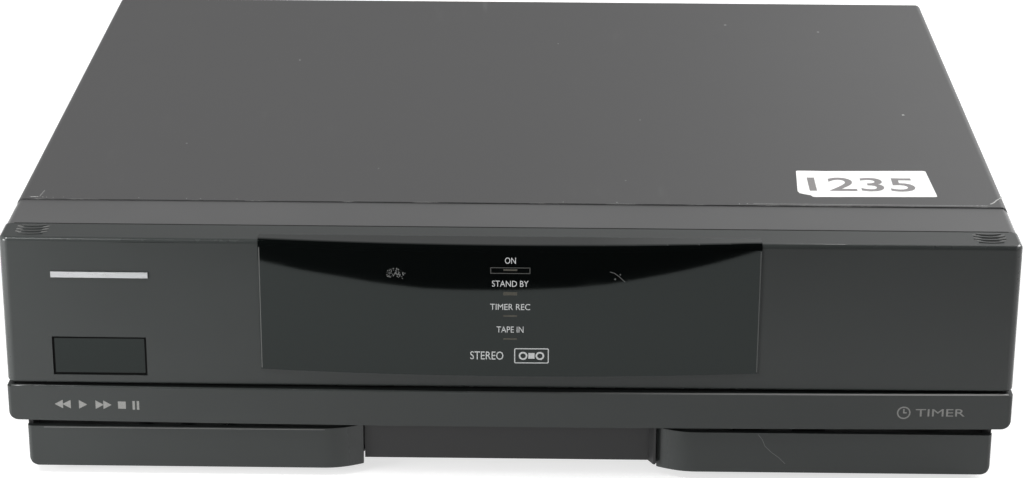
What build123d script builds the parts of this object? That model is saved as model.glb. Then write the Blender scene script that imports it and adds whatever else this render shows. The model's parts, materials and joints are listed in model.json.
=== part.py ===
"""A front-loading VHS video cassette recorder: casing, drop-down door, tape deck and electronics.

+Z is up and the front faces -Y. The origin is the middle of the whole recorder's footprint, on the
surface that its feet stand on. All sizes are millimetres.
"""

import os
from math import asin, cos, degrees, hypot, radians, sin

from build123d import *

os.makedirs("parts", exist_ok=True)

# ---------------------------------------------------------------- driving dimensions
width = 430.0  # over the casing
height = 110.0  # feet to cover top
depth = 356.0  # door face to the cover's rear edge
foot_height = 6.0
socket_reach = 9.5  # aerial sockets beyond the cover
fit_gap = 0.2  # between pieces that slide in or seat beside each other
swing_gap = 0.4  # between pieces that swing past each other
running_clearance = 0.05  # radial, shaft in hole

# cover and bezel
cover_sheet = 1.0
cover_bend = 3.0
cover_start = 45.7  # behind the door face
cover_skirt = 26.0  # height of the cover's lower edge
bezel_wall = 2.5
bezel_step = 0.5  # bezel top below the cover's
bezel_tongue = 6.0

# door
door_thickness = 2.5
door_bow = 0.8
door_bottom = 43.0
door_lip = 16.5  # depth of the door's top lip
door_corner = 4.0
door_edge = 1.2
pivot_rise = 12.0  # hinge above the door's bottom edge
pivot_inset = 5.2  # hinge behind the door face
hinge_pin = 1.2
ear_width = 2.7
ear_radius = 2.4

# door window
window_width = 211.4
window_bottom = 51.0
window_bulge = 6.5
window_proud = 0.5
window_thickness = 1.8
window_rollover = 6.0
window_seat = 0.4
sight_margin = 8.0

# infra-red lens and badge on the door
lens_width = 40.2
lens_height = 17.7
lens_inset = 40.5  # lens middle from the casing's left side
lens_rise = 12.75  # lens middle above the door's bottom edge
lens_thickness = 1.6
badge_width = 41.0
badge_height = 2.6
badge_inset = 42.0  # badge middle from the casing's left side
badge_drop = 16.8  # badge middle below the cover's top
badge_thickness = 0.6

# trim strip and lower front
strip_top = 41.5
strip_bottom = 26.0
strip_bow = 2.6
strip_proud = 1.0
strip_corner = 4.5
plinth_inset = 7.2  # plinth side inside the casing side
beam_face = 2.0
recess_face = 7.0
pocket_face = 15.0
cheek_left = -61.5
cheek_right = 60.2
cheek_width = 3.2

# lower flaps
flap_thickness = 2.5
flap_top = 22.6
flap_bottom = 4.0
flap_pivot_inset = 5.2
flap_pivot_rise = 2.9
flap_sweep = 17.0
flap_sweep_depth = 5.0
flap_end_gap = 0.5
flap_corner = 4.5
knuckle_length = 5.0
lug_width = 5.0

# inner fascia and the cassette slot
fascia_setback = 20.0
fascia_thickness = 2.5
slot_width = 192.0
slot_height = 28.5
slot_head = 3.8  # fascia above the slot
slot_side = 8.5  # slot end inside the casing wall
key_gap = 0.3
key_proud = 2.4
low_key_inset = 77.8  # outer small key from the plinth's right side
low_key_spacing = 26.0
low_key_z = 15.0
low_key_width = 14.0
low_key_height = 5.0
jack_inset = 47.8  # outer socket from the plinth's left side
jack_spacing = 18.0
jack_z = 15.0
jack_radius = 4.2
jack_neck = 3.0
jack_bore = 1.7
jack_reach = 6.0

# cassette lift and deck
cassette_drop = 24.0
cassette_run = 25.0
holder_start = 57.0
holder_sheet = 1.0
holder_play = 0.4  # slot end beyond the holder's side
slide_sheet = 0.8
slide_play = 0.4
frame_sheet = 1.2
frame_play = 0.8
frame_headroom = 4.5
deck_sheet = 1.2
deck_rise = 5.3  # lowered holder above the deck
deck_margin = 0.8
deck_start = 56.0
deck_end = 262.0
drum_radius = 31.0
drum_setback = 226.0
drum_tilt = 5.96
reel_spacing = 92.4
reel_setback = 132.0

# ---------------------------------------------------------------- derived places
front = -(depth + socket_reach - window_bulge) / 2  # door face
rear = front + depth
half = width / 2
base_half = half - plinth_inset
bezel_top = height - bezel_step
cover_front = front + cover_start
fascia_y = front + fascia_setback
fascia_back = fascia_y + fascia_thickness
fascia_top = bezel_top - bezel_wall - fit_gap
pivot_y = front + pivot_inset
pivot_z = door_bottom + pivot_rise
knuckle_radius = hypot(pivot_rise, pivot_inset + door_bow) + 0.2
inner_half = half - bezel_wall
lens_x = lens_inset - half
lens_z = door_bottom + lens_rise
badge_x = badge_inset - half
badge_z = height - badge_drop
slot_half = slot_width / 2
slot_top = fascia_top - slot_head
slot_bottom = slot_top - slot_height
deck_x = slot_side + slot_half - inner_half  # middle of the cassette deck
holder_half = slot_half - holder_play
slide_inner = holder_half + slide_play
frame_inner = slide_inner + slide_sheet + frame_play + 0.4
frame_outer = frame_inner + frame_sheet
deck_half = frame_outer + deck_margin
deck_top = slot_bottom - cassette_drop - deck_rise
deck_bottom = deck_top - deck_sheet
board_z = foot_height + 8.0
low_key_xs = [base_half - low_key_inset - low_key_spacing * i for i in (1, 0)]
jack_xs = [jack_inset - base_half + jack_spacing * i for i in range(3)]

LOW = (Align.CENTER, Align.CENTER, Align.MIN)
CUT = Mode.SUBTRACT


# ---------------------------------------------------------------- helpers
def front_plane(y):
    """A plane that is seen from the front: X to the right, Z up."""
    return Plane(origin=(0, y, 0), x_dir=(1, 0, 0), z_dir=(0, -1, 0))


def side_plane(x):
    """A plane that is seen from the right-hand end: Y to the right, Z up."""
    return Plane(origin=(x, 0, 0), x_dir=(0, 1, 0), z_dir=(1, 0, 0))


def level(z):
    """A horizontal plane at a height."""
    return Plane.XY.offset(z)


def block(x0, x1, y0, y1, z0, z1, mode=Mode.ADD):
    """A box between two corners."""
    with Locations(((x0 + x1) / 2, (y0 + y1) / 2, (z0 + z1) / 2)):
        Box(x1 - x0, y1 - y0, z1 - z0, mode=mode)


def post(x, y, z0, z1, radius, mode=Mode.ADD):
    """An upright cylinder."""
    with Locations((x, y, z0)):
        Cylinder(radius, z1 - z0, align=LOW, mode=mode)


def rod_x(x0, x1, y, z, radius, mode=Mode.ADD):
    """A cylinder along X."""
    with Locations(Location((x0, y, z), (0, 90, 0))):
        Cylinder(radius, x1 - x0, align=LOW, mode=mode)


def rod_y(x, y0, y1, z, radius, mode=Mode.ADD):
    """A cylinder along Y."""
    with Locations(Location((x, y0, z), (-90, 0, 0))):
        Cylinder(radius, y1 - y0, align=LOW, mode=mode)


def bowed_outline(half_width, y_end, bow, y_back):
    """A closed plan outline whose front edge is an arc that stands forward in the middle."""
    ThreePointArc((-half_width, y_end), (0, y_end - bow), (half_width, y_end))
    Polyline((half_width, y_end), (half_width, y_back), (-half_width, y_back), (-half_width, y_end))


def save(name, part):
    """Labels a finished piece and writes it under its own name."""
    part.label = name
    export_step(part, f"parts/{name}.step")


# ---------------------------------------------------------------- casing
def hood(outer_half, top, bottom, wall, bend):
    """The end view of a hood: a top and two sides of one wall, with bent corners."""
    with BuildSketch() as view:
        with BuildLine():
            Polyline(
                (-outer_half, bottom), (-outer_half, top), (outer_half, top), (outer_half, bottom),
                (outer_half - wall, bottom), (outer_half - wall, top - wall),
                (wall - outer_half, top - wall), (wall - outer_half, bottom), (-outer_half, bottom),
            )
        make_face()
        outer_corners = view.vertices().group_by(Axis.Y)[-1]
        fillet(outer_corners, bend)
        inner_corners = view.vertices().filter_by(lambda v: abs(v.Y - (top - wall)) < 0.01)
        fillet(inner_corners, max(bend - wall, 0.4))
    return view.sketch


# Pressed-steel cover: a top and two sides, with a turned-down lip along the rear edge.
cover_side_screw_z = cover_skirt + 8.0
cover_screw_setbacks = (cover_start + 25.0, depth - 30.0)
screw_hole = 2.0
with BuildPart() as top_cover:
    cover_view = hood(half, height, cover_skirt, cover_sheet, cover_bend)
    extrude(front_plane(cover_front) * cover_view, amount=-(depth - cover_start))
    for setback in cover_screw_setbacks:
        rod_x(-half, half, front + setback, cover_side_screw_z, screw_hole, CUT)
save("top_cover", top_cover.part)

# Steel tray that everything stands on. Its sides step outwards under the cover's lower edge.
tray_sheet = 1.2
tray_front = 20.0
tray_wall_top = 40.0
tray_step_half = half - cover_sheet - fit_gap
rear_panel_thickness = 2.0
rear_panel_y = rear - 0.5 - rear_panel_thickness
tray_back = rear_panel_y - fit_gap
standoff_radius = 3.0
deck_post_radius = 4.0
deck_post_inset = 5.0
deck_posts = [(deck_x + s * (deck_half - deck_post_inset), front + y) for s in (-1, 1)
              for y in (deck_start + deck_post_inset, deck_end - deck_post_inset)]
board_post_inset = 8.0
main_board_left = 19.0 - half
main_board_width = 176.0
main_board_start = 66.0
main_board_length = 268.0
power_board_width = 173.0
power_board_left = half - 12.0 - power_board_width
power_board_start = 192.0
power_board_length = 148.0


def board_corners(left, board_width, start, length):
    """The four standoff places of a board."""
    return [(x, front + y) for x in (left + board_post_inset, left + board_width - board_post_inset)
            for y in (start + board_post_inset, start + length - board_post_inset)]


board_posts = board_corners(main_board_left, main_board_width, main_board_start, main_board_length)
power_posts = board_corners(power_board_left, power_board_width, power_board_start, power_board_length)
foot_x = half - 43.0
foot_setbacks = (48.0, depth - 38.0)
foot_peg = 2.5
tray_shelf_start = front + cover_start + bezel_tongue + 2
with BuildPart() as base_tray:
    block(-base_half, base_half, front + tray_front, tray_back, foot_height, foot_height + tray_sheet)
    for s in (-1, 1):
        x_in, x_out = sorted((s * (base_half - tray_sheet), s * base_half))
        block(x_in, x_out, front + tray_front, tray_back, foot_height, cover_skirt + tray_sheet)
        x_in, x_out = sorted((s * (base_half - tray_sheet), s * tray_step_half))
        block(x_in, x_out, tray_shelf_start, tray_back, cover_skirt, cover_skirt + tray_sheet)
        x_in, x_out = sorted((s * (tray_step_half - tray_sheet), s * tray_step_half))
        block(x_in, x_out, tray_shelf_start, tray_back, cover_skirt, tray_wall_top)
    for x, y in deck_posts:
        post(x, y, foot_height, deck_top - deck_sheet, deck_post_radius)
    for x, y in board_posts + power_posts:
        post(x, y, foot_height, board_z, standoff_radius)
    for x in (-foot_x, foot_x):
        for setback in foot_setbacks:
            post(x, front + setback, foot_height, foot_height + tray_sheet, foot_peg + fit_gap, CUT)
    for setback in cover_screw_setbacks:
        rod_x(-half, half, front + setback, cover_side_screw_z, screw_hole - 0.6, CUT)
save("base_tray", base_tray.part)

# Four rubber feet, each pushed through the tray by its peg.
foot_radius = 11.0
with BuildPart() as feet:
    for x in (-foot_x, foot_x):
        for setback in foot_setbacks:
            post(x, front + setback, 0, foot_height, foot_radius)
            post(x, front + setback, foot_height, foot_height + tray_sheet + 1.5, foot_peg)
    fillet(feet.edges().group_by(Axis.Z)[0], 1.0)
save("feet", feet.part)

# Moulded bezel between the door and the cover, with a tongue that slides under the cover.
groove = 0.4
with BuildPart() as front_bezel:
    bezel_view = hood(half, bezel_top, strip_bottom, bezel_wall, cover_bend)
    extrude(front_plane(front + door_lip + groove) * bezel_view, amount=-(cover_start - door_lip - groove))
    tongue_view = hood(half - cover_sheet - fit_gap, height - cover_sheet - fit_gap, strip_bottom, bezel_wall,
                       cover_bend - cover_sheet - fit_gap)
    extrude(front_plane(cover_front - 2.0) * tongue_view, amount=-(bezel_tongue + 2.0))
    rod_x(-half - 1, half + 1, pivot_y, pivot_z, knuckle_radius + swing_gap, CUT)
save("front_bezel", front_bezel.part)

# Screws: two in each side of the cover.
screw_reach = 5.0
with BuildPart() as cover_screws:
    for setback in cover_screw_setbacks:
        for s in (-1, 1):
            head_x0, head_x1 = sorted((s * half, s * (half - cover_sheet)))
            rod_x(head_x0, head_x1, front + setback, cover_side_screw_z, screw_hole - running_clearance)
            shank_x0, shank_x1 = sorted((s * (half - cover_sheet), s * (half - screw_reach)))
            rod_x(shank_x0, shank_x1, front + setback, cover_side_screw_z, screw_hole - 0.65)
save("cover_screws", cover_screws.part)


# ---------------------------------------------------------------- door
def bow_at(x, bow, chord_half):
    """How far an arc of that bow stands forward at x."""
    radius = (chord_half**2 + bow**2) / (2 * bow)
    return bow - radius + (radius**2 - x**2) ** 0.5


window_half = window_width / 2
window_end_y = front - bow_at(window_half, door_bow, half) - window_proud
window_sagitta = window_end_y - (front - window_bulge)
window_top = bezel_top + window_seat
rollover_y = front + window_rollover - window_proud


def window_outline(inset):
    """The window's plan outline, its front arc moved back by an inset."""
    ThreePointArc(
        (-window_half, window_end_y + inset),
        (0, window_end_y + inset - window_sagitta),
        (window_half, window_end_y + inset),
    )
    Polyline(
        (window_half, window_end_y + inset), (window_half, rollover_y),
        (-window_half, rollover_y), (-window_half, window_end_y + inset),
    )


# Smoked window: a curved sheet whose top edge rolls back over the door's lip.
with BuildPart() as door_window:
    with BuildSketch(level(window_bottom)):
        with BuildLine():
            window_outline(0)
        make_face()
    extrude(amount=window_top - window_bottom)
    fillet(door_window.faces().sort_by(Axis.Y)[0].edges().sort_by(Axis.Z)[-1], window_thickness + 1.0)
    with BuildSketch(level(window_bottom)):
        with BuildLine():
            window_outline(window_thickness)
        make_face()
    extrude(amount=window_top - window_thickness - window_bottom, mode=CUT)
save("door_window", door_window.part)

# Door: a bowed front with a top lip and end returns, standing forward behind the window.
sill_height = 1.4
door_hole_depth = 1.6
with BuildPart() as door_panel:
    with BuildSketch(level(door_bottom)) as door_plan:
        with BuildLine():
            bowed_outline(half, front, door_bow, front + pivot_inset + knuckle_radius)
        make_face()
        fillet(door_plan.vertices().group_by(Axis.Y)[0], door_corner)
    extrude(amount=bezel_top - door_bottom)
    fillet(door_panel.edges().group_by(Axis.Z)[-1].sort_by(Axis.Y)[0], door_edge + 0.6)
    fillet(door_panel.edges().group_by(Axis.Z)[0].sort_by(Axis.Y)[0], door_edge)
    with BuildSketch(level(window_bottom - sill_height)):
        with BuildLine():
            window_outline(window_thickness)
        make_face()
    extrude(amount=bezel_top - window_bottom + sill_height)
    with BuildSketch(level(door_bottom)):
        with BuildLine():
            bowed_outline(inner_half, front + door_thickness, door_bow, rear)
        make_face()
    extrude(amount=bezel_top - bezel_wall - door_bottom, mode=CUT)
    with BuildSketch(side_plane(-half)) as door_side:
        with BuildLine():
            Polyline(
                (front - 20, door_bottom), (front - 20, height + 1), (front + door_lip, height + 1),
                (front + door_lip, pivot_z), (pivot_y, pivot_z), (pivot_y, door_bottom),
                (front - 20, door_bottom),
            )
        make_face()
        with Locations((pivot_y, pivot_z)):
            Circle(knuckle_radius)
    extrude(amount=width, mode=Mode.INTERSECT)
    block(-half, half, front - 20, rear, foot_height, door_bottom, CUT)
    add(door_window.part, mode=CUT)
    sight_half = window_half - sight_margin
    block(-sight_half, sight_half, front - 20, front + door_lip - bezel_wall - 1,
          window_bottom + sight_margin, bezel_top - bezel_wall - sight_margin / 2, CUT)
    block(lens_x - lens_width / 2, lens_x + lens_width / 2, front - 5, front + lens_thickness + 0.3,
          lens_z - lens_height / 2, lens_z + lens_height / 2, CUT)
    block(lens_x - lens_width / 2 + 2, lens_x + lens_width / 2 - 2, front - 5, front + 10,
          lens_z - lens_height / 2 + 2, lens_z + lens_height / 2 - 2, CUT)
    for s in (-1, 1):
        hole_x = sorted((s * (inner_half - 1), s * (inner_half + door_hole_depth)))
        rod_x(hole_x[0], hole_x[1], pivot_y, pivot_z, hinge_pin + running_clearance, CUT)
save("door_panel", door_panel.part)

# Dark lens over the infra-red receiver.
with BuildPart() as ir_lens:
    with BuildSketch(front_plane(front + 0.3)):
        with Locations((lens_x, lens_z)):
            RectangleRounded(lens_width - 0.3, lens_height - 0.3, 0.8)
    extrude(amount=-lens_thickness)
save("ir_lens", ir_lens.part)

# Plain bright bar on the door, on the door's own curve.
badge_left = badge_x - badge_width / 2
badge_right = badge_x + badge_width / 2


def badge_face(x):
    """The badge's face on the bowed door."""
    return x, front - bow_at(x, door_bow, half) - badge_thickness


with BuildPart() as badge_bar:
    with BuildSketch(level(badge_z - badge_height / 2)):
        with BuildLine():
            ThreePointArc(badge_face(badge_left), badge_face(badge_x), badge_face(badge_right))
            Polyline(badge_face(badge_right), (badge_right, front + 1), (badge_left, front + 1),
                     badge_face(badge_left))
        make_face()
    extrude(amount=badge_height)
    add(door_panel.part, mode=CUT)
save("badge_bar", badge_bar.part)

# ---------------------------------------------------------------- lower front
# Bowed strip under the door.
with BuildPart() as trim_strip:
    with BuildSketch(level(strip_bottom)) as strip_plan:
        with BuildLine():
            bowed_outline(half, front - strip_proud, strip_bow, front + door_lip)
        make_face()
        fillet(strip_plan.vertices().group_by(Axis.Y)[0], 1.8)
    extrude(amount=strip_top - strip_bottom)
    block(-inner_half, inner_half, front + beam_face, rear, strip_bottom, strip_top, CUT)
    with BuildSketch(front_plane(front - 20)) as strip_view:
        with Locations((0, (strip_top + strip_bottom) / 2)):
            Rectangle(width, strip_top - strip_bottom)
        fillet(strip_view.vertices().group_by(Axis.Y)[0], strip_corner)
    extrude(amount=-40, mode=Mode.INTERSECT)
save("trim_strip", trim_strip.part)

# Moulding behind the strip, with the middle recess and a pocket behind each flap.
flap_pivot_y = front + flap_pivot_inset
flap_pivot_z = flap_bottom + flap_pivot_rise
flap_left = (-base_half + 0.3, cheek_left - 1.0 - flap_end_gap)
flap_right = (cheek_right + cheek_width + flap_end_gap, base_half - 0.3)
lug_radius = flap_pivot_inset - flap_thickness - 0.4
lug_inset = 24.0
lugs = [flap_left[0] + lug_inset, flap_left[1] - flap_sweep - lug_inset,
        flap_right[0] + flap_sweep + lug_inset, flap_right[1] - lug_inset]
wall = 2.0
beam_top = strip_top - 0.3
beam_half = inner_half - fit_gap
moulding_back = front + tray_front - fit_gap
with BuildPart() as lower_fascia:
    block(-beam_half, beam_half, front + beam_face, front + beam_face + wall, strip_bottom, beam_top)
    block(-beam_half, beam_half, front + beam_face, fascia_back, beam_top - wall, beam_top)
    block(-beam_half, beam_half, front + beam_face, moulding_back, strip_bottom, strip_bottom + wall)
    block(cheek_left, cheek_right, front + recess_face, front + recess_face + wall, foot_height,
          strip_bottom)
    block(cheek_left, cheek_right + cheek_width, front + recess_face, moulding_back, foot_height,
          foot_height + wall)
    for x0, x1 in (flap_left, flap_right):
        block(x0, x1, front + pocket_face, front + pocket_face + wall, foot_height, strip_bottom)
        block(x0, x1, front + pocket_face - wall, moulding_back, foot_height, foot_height + tray_sheet)
    block(cheek_left - 1.0, cheek_left, front + recess_face, front + pocket_face + wall, foot_height,
          strip_bottom)
    with BuildSketch(level(foot_height)):
        with BuildLine():
            Polyline(
                (cheek_right, front + recess_face), (cheek_right + cheek_width - 1.0, front + 2.6),
                (cheek_right + cheek_width, front + 2.6),
                (cheek_right + cheek_width, front + pocket_face + wall),
                (cheek_right, front + pocket_face + wall), (cheek_right, front + recess_face),
            )
        make_face()
    extrude(amount=strip_bottom - foot_height)
    for s in (-1, 1):
        end_x = sorted((s * (base_half - 0.4), s * (base_half - 0.4 - wall)))
        block(end_x[0], end_x[1], front + 3.3, moulding_back, foot_height, strip_bottom)
    for x in lugs:
        with BuildSketch(side_plane(x - lug_width / 2)):
            with Locations((flap_pivot_y, flap_pivot_z)):
                Circle(lug_radius)
            with Locations(((flap_pivot_y + front + pocket_face) / 2, flap_pivot_z)):
                Rectangle(front + pocket_face - flap_pivot_y, 2 * lug_radius)
            with Locations((flap_pivot_y, flap_pivot_z)):
                Circle(hinge_pin, mode=CUT)
        extrude(amount=lug_width)
    for x in low_key_xs:
        block(x - low_key_width / 2 - key_gap, x + low_key_width / 2 + key_gap, front + pocket_face,
              front + pocket_face + wall, low_key_z - low_key_height / 2 - key_gap,
              low_key_z + low_key_height / 2 + key_gap, CUT)
    for x in jack_xs:
        rod_y(x, front + pocket_face, front + pocket_face + wall, jack_z, jack_neck + fit_gap, CUT)
save("lower_fascia", lower_fascia.part)


def flap(name, x_outer, x_inner, lug_xs):
    """A drop-down flap, swept back at its inner end, with a knuckle at each side of each lug."""
    toward = 1 if x_inner > x_outer else -1
    x_bend = x_inner - toward * flap_sweep
    x_ease = x_bend + toward * flap_sweep * 0.45
    x_tip = x_inner - toward * 2.0
    ease = flap_sweep_depth * 0.2
    tip_y = front + flap_sweep_depth
    with BuildPart() as piece:
        with BuildSketch(level(flap_bottom)) as plan:
            with BuildLine():
                Line((x_outer, front), (x_bend, front))
                Spline((x_bend, front), (x_ease, front + ease), (x_inner, tip_y),
                       tangents=[(toward, 0), (toward, 0.55)])
                Polyline((x_inner, tip_y), (x_inner, tip_y + flap_thickness), (x_tip, tip_y + flap_thickness))
                Spline((x_tip, tip_y + flap_thickness), (x_ease, front + ease + flap_thickness),
                       (x_bend, front + flap_thickness), tangents=[(-toward, -0.5), (-toward, 0)])
                Polyline((x_bend, front + flap_thickness), (x_outer, front + flap_thickness),
                         (x_outer, front))
            make_face()
            front_edge = plan.vertices().group_by(Axis.Y)[0]
            fillet(front_edge.sort_by(Axis.X)[-1 if toward < 0 else 0], flap_thickness - 0.4)
        extrude(amount=flap_top - flap_bottom)
        corner_x = x_outer + toward * flap_corner
        x0, x1 = sorted((x_outer - toward, corner_x))
        with BuildPart(mode=CUT):
            block(x0, x1, front - 1, tip_y, flap_bottom - 1, flap_bottom + flap_corner)
            rod_y(corner_x, front - 1, tip_y, flap_bottom + flap_corner, flap_corner, CUT)
        for lug_x in lug_xs:
            for s in (-1, 1):
                x0, x1 = sorted((lug_x + s * (lug_width / 2 + 0.3),
                                 lug_x + s * (lug_width / 2 + knuckle_length)))
                rod_x(x0, x1, flap_pivot_y, flap_pivot_z, lug_radius)
                block(x0, x1, front + flap_thickness - 0.5, flap_pivot_y, flap_pivot_z - lug_radius,
                      flap_pivot_z + lug_radius)
                rod_x(x0 - 0.1, x1 + 0.1, flap_pivot_y, flap_pivot_z, hinge_pin + running_clearance, CUT)
    save(name, piece.part)


flap("left_flap", flap_left[0], flap_left[1], lugs[:2])
flap("right_flap", flap_right[1], flap_right[0], lugs[2:])

# Steel pins: one through each flap lug, one in each door ear.
with BuildPart() as hinge_pins:
    for x in lugs:
        reach = lug_width / 2 + knuckle_length - 0.5
        rod_x(x - reach, x + reach, flap_pivot_y, flap_pivot_z, hinge_pin)
    for s in (-1, 1):
        pin_x = sorted((s * (inner_half + door_hole_depth - 0.3), s * (inner_half - ear_width - 0.3)))
        rod_x(pin_x[0], pin_x[1], pivot_y, pivot_z, hinge_pin)
save("hinge_pins", hinge_pins.part)

# ---------------------------------------------------------------- inner fascia and its controls
flap_pivot_back = 1.6  # slot flap pivot behind the fascia
slot_flap_thickness = 2.0
slot_flap_overlap = 1.5
slot_pivot_y = fascia_back + flap_pivot_back
slot_pivot_z = slot_top + 1.8
slot_flap_half = slot_half + slot_flap_overlap
slot_pin = 0.9
boss_width = 3.5
key_width = 19.4
key_height = 6.4
key_spacing = 24.0
key_row_spacing = 10.0
key_side = 8.8  # last key inside the casing wall
key_head = 7.6  # fascia above the upper keys
last_key_x = inner_half - key_side - key_width / 2
key_columns = [last_key_x - key_spacing * i for i in (3, 2, 1, 0)]
key_rows = [fascia_top - key_head - key_height / 2 - key_row_spacing * i for i in (0, 1)]
key_places = [(x, z) for z in key_rows for x in key_columns]
key_names = ("power_key", "eject_key", "record_key", "pause_key",
             "rewind_key", "stop_key", "play_key", "forward_key")
keys = dict(zip(key_names, key_places))
key_flange = 1.2
key_stem = 2.6
key_switch = 3.0
lamp_gap = 7.0  # lamps beside the slot
lamp_width = 13.6
lamp_height = 2.7
lamp_head = 10.0  # fascia top to the first lamp
lamp_spacing = 10.3
lamp_left = deck_x + slot_half + lamp_gap
lamp_right = lamp_left + lamp_width
lamp_zs = [fascia_top - lamp_head - lamp_spacing * i for i in range(4)]
display_height = 38.0
display_head = 8.8
display_gap = 7.4  # beside the lamps
display_key_gap = 8.3  # beside the keys
display_left = lamp_right + display_gap
display_right = key_columns[0] - key_width / 2 - display_key_gap
display_top = fascia_top - display_head
display_bottom = display_top - display_height
dial_room = (key_rows[1] - key_height / 2 - beam_top) / 2  # half the height under the keys
dial_x = last_key_x - 18.0
dial_z = beam_top + dial_room
dial_spindle = 2.5
ring_radius = 15.0
dial_radius = 9.3
ring_proud = 3.0
knob_x = key_columns[0] + 6.0
knob_radius = 6.0
knob_spindle = 1.5
spindle_reach = 3.5
control_gap = 0.3  # controls clear of the fascia
cap_wall = 1.6
board_gap = 5.0
board_y = fascia_back + board_gap
pcb = 1.6

with BuildPart() as inner_fascia:
    block(-beam_half, beam_half, fascia_y, fascia_back, beam_top, fascia_top)
    block(deck_x - slot_half, deck_x + slot_half, fascia_y, fascia_back, slot_bottom, slot_top, CUT)
    block(display_left, display_right, fascia_y, fascia_back, display_bottom, display_top, CUT)
    for z in lamp_zs:
        block(lamp_left, lamp_right, fascia_y, fascia_back, z - lamp_height / 2, z + lamp_height / 2, CUT)
    for x, z in keys.values():
        block(x - key_width / 2 - key_gap, x + key_width / 2 + key_gap, fascia_y, fascia_back,
              z - key_height / 2 - key_gap, z + key_height / 2 + key_gap, CUT)
    for s in (-1, 1):
        boss_x = sorted((deck_x + s * (slot_flap_half + control_gap),
                         deck_x + s * (slot_flap_half + control_gap + boss_width)))
        block(boss_x[0], boss_x[1], fascia_back, slot_pivot_y + 2.4, slot_pivot_z - 3.0, slot_pivot_z + 1.9)
        rod_x(boss_x[0], boss_x[1], slot_pivot_y, slot_pivot_z, slot_pin + running_clearance, CUT)
        ear_x = sorted((s * (inner_half - 0.3), s * (inner_half - 0.3 - ear_width)))
        rod_x(ear_x[0], ear_x[1], pivot_y, pivot_z, ear_radius)
        block(ear_x[0], ear_x[1], pivot_y, fascia_y, pivot_z - ear_radius, pivot_z + ear_radius)
        rod_x(ear_x[0], ear_x[1], pivot_y, pivot_z, hinge_pin, CUT)
    rod_y(dial_x, fascia_y - spindle_reach, fascia_y, dial_z, dial_spindle)
    rod_y(knob_x, fascia_y - spindle_reach, fascia_y, dial_z, knob_spindle)
save("inner_fascia", inner_fascia.part)

# Flap that covers the cassette slot from behind and swings inwards.
with BuildPart() as slot_flap:
    rod_x(deck_x - slot_flap_half, deck_x + slot_flap_half, slot_pivot_y, slot_pivot_z,
          slot_flap_thickness / 2)
    block(deck_x - slot_flap_half, deck_x + slot_flap_half, slot_pivot_y - slot_flap_thickness / 2,
          slot_pivot_y + slot_flap_thickness / 2, slot_bottom - 1.0, slot_pivot_z)
    pin_half = slot_flap_half + boss_width - 0.2
    rod_x(deck_x - pin_half, deck_x + pin_half, slot_pivot_y, slot_pivot_z, slot_pin)
save("slot_flap", slot_flap.part)


def key(name, x, z, size_x, size_z, face_y, wall_back):
    """A push key: a cap through the panel and a flange behind it that keeps it in."""
    flange_front = wall_back + fit_gap
    flange_x = size_x / 2 + key_gap + 0.6
    flange_z = size_z / 2 + key_gap + 0.6
    with BuildPart() as piece:
        block(x - size_x / 2, x + size_x / 2, face_y, flange_front, z - size_z / 2, z + size_z / 2)
        fillet(piece.faces().sort_by(Axis.Y)[0].edges(), 0.6)
        block(x - flange_x, x + flange_x, flange_front, flange_front + key_flange, z - flange_z, z + flange_z)
    save(name, piece.part)


for key_name, (x, z) in keys.items():
    key(key_name, x, z, key_width, key_height, fascia_y - key_proud, fascia_back)

# Dark lens in front of the display.
lens_gap = 0.1
with BuildPart() as display_lens:
    block(display_left + lens_gap, display_right - lens_gap, fascia_y + 0.5, fascia_back,
          display_bottom + lens_gap, display_top - lens_gap)
save("display_lens", display_lens.part)

# Four light bars from the lamps on the key board to the fascia's face.
with BuildPart() as indicator_lamps:
    for z in lamp_zs:
        block(lamp_left + lens_gap, lamp_right - lens_gap, fascia_y - 0.3, board_y,
              z - lamp_height / 2 + lens_gap, z + lamp_height / 2 - lens_gap)
save("indicator_lamps", indicator_lamps.part)

# Board behind the fascia, with the display tube and a switch behind every key.
tube_inset = 4.0
board_edge = 2.0
knob_body = 5.0
dial_body = 8.0
with BuildPart() as key_board:
    block(display_left + tube_inset, display_right - tube_inset, fascia_back + 1.0, board_y,
          display_bottom + tube_inset, display_top - tube_inset)
    fillet(key_board.edges().filter_by(Axis.Y), 1.5)
    block(lamp_left - 1.0, inner_half - board_edge, board_y, board_y + pcb, beam_top + board_edge,
          fascia_top - board_edge)
    for x, z in keys.values():
        block(x - key_switch, x + key_switch, fascia_back + key_stem, board_y, z - key_switch + 0.4,
              z + key_switch - 0.4)
    for x, body in ((knob_x, knob_body), (dial_x, dial_body)):
        block(x - body, x + body, fascia_back, board_y, dial_z - body, dial_z + body)
save("key_board", key_board.part)

# Jog dial on its spindle, and the shuttle ring that turns around it.
cap_face = fascia_y - spindle_reach - cap_wall
cap_back = fascia_y - control_gap
spindle_end = fascia_y - spindle_reach - 0.1
with BuildPart() as jog_dial:
    rod_y(dial_x, cap_face, cap_back, dial_z, dial_radius)
    fillet(jog_dial.faces().sort_by(Axis.Y)[0].edges(), 0.8)
    with Locations((dial_x, cap_face - 0.8, dial_z + dial_radius * 0.55)):
        Sphere(2.0, mode=CUT)
    rod_y(dial_x, spindle_end, fascia_y, dial_z, dial_spindle + running_clearance, CUT)
save("jog_dial", jog_dial.part)

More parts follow.
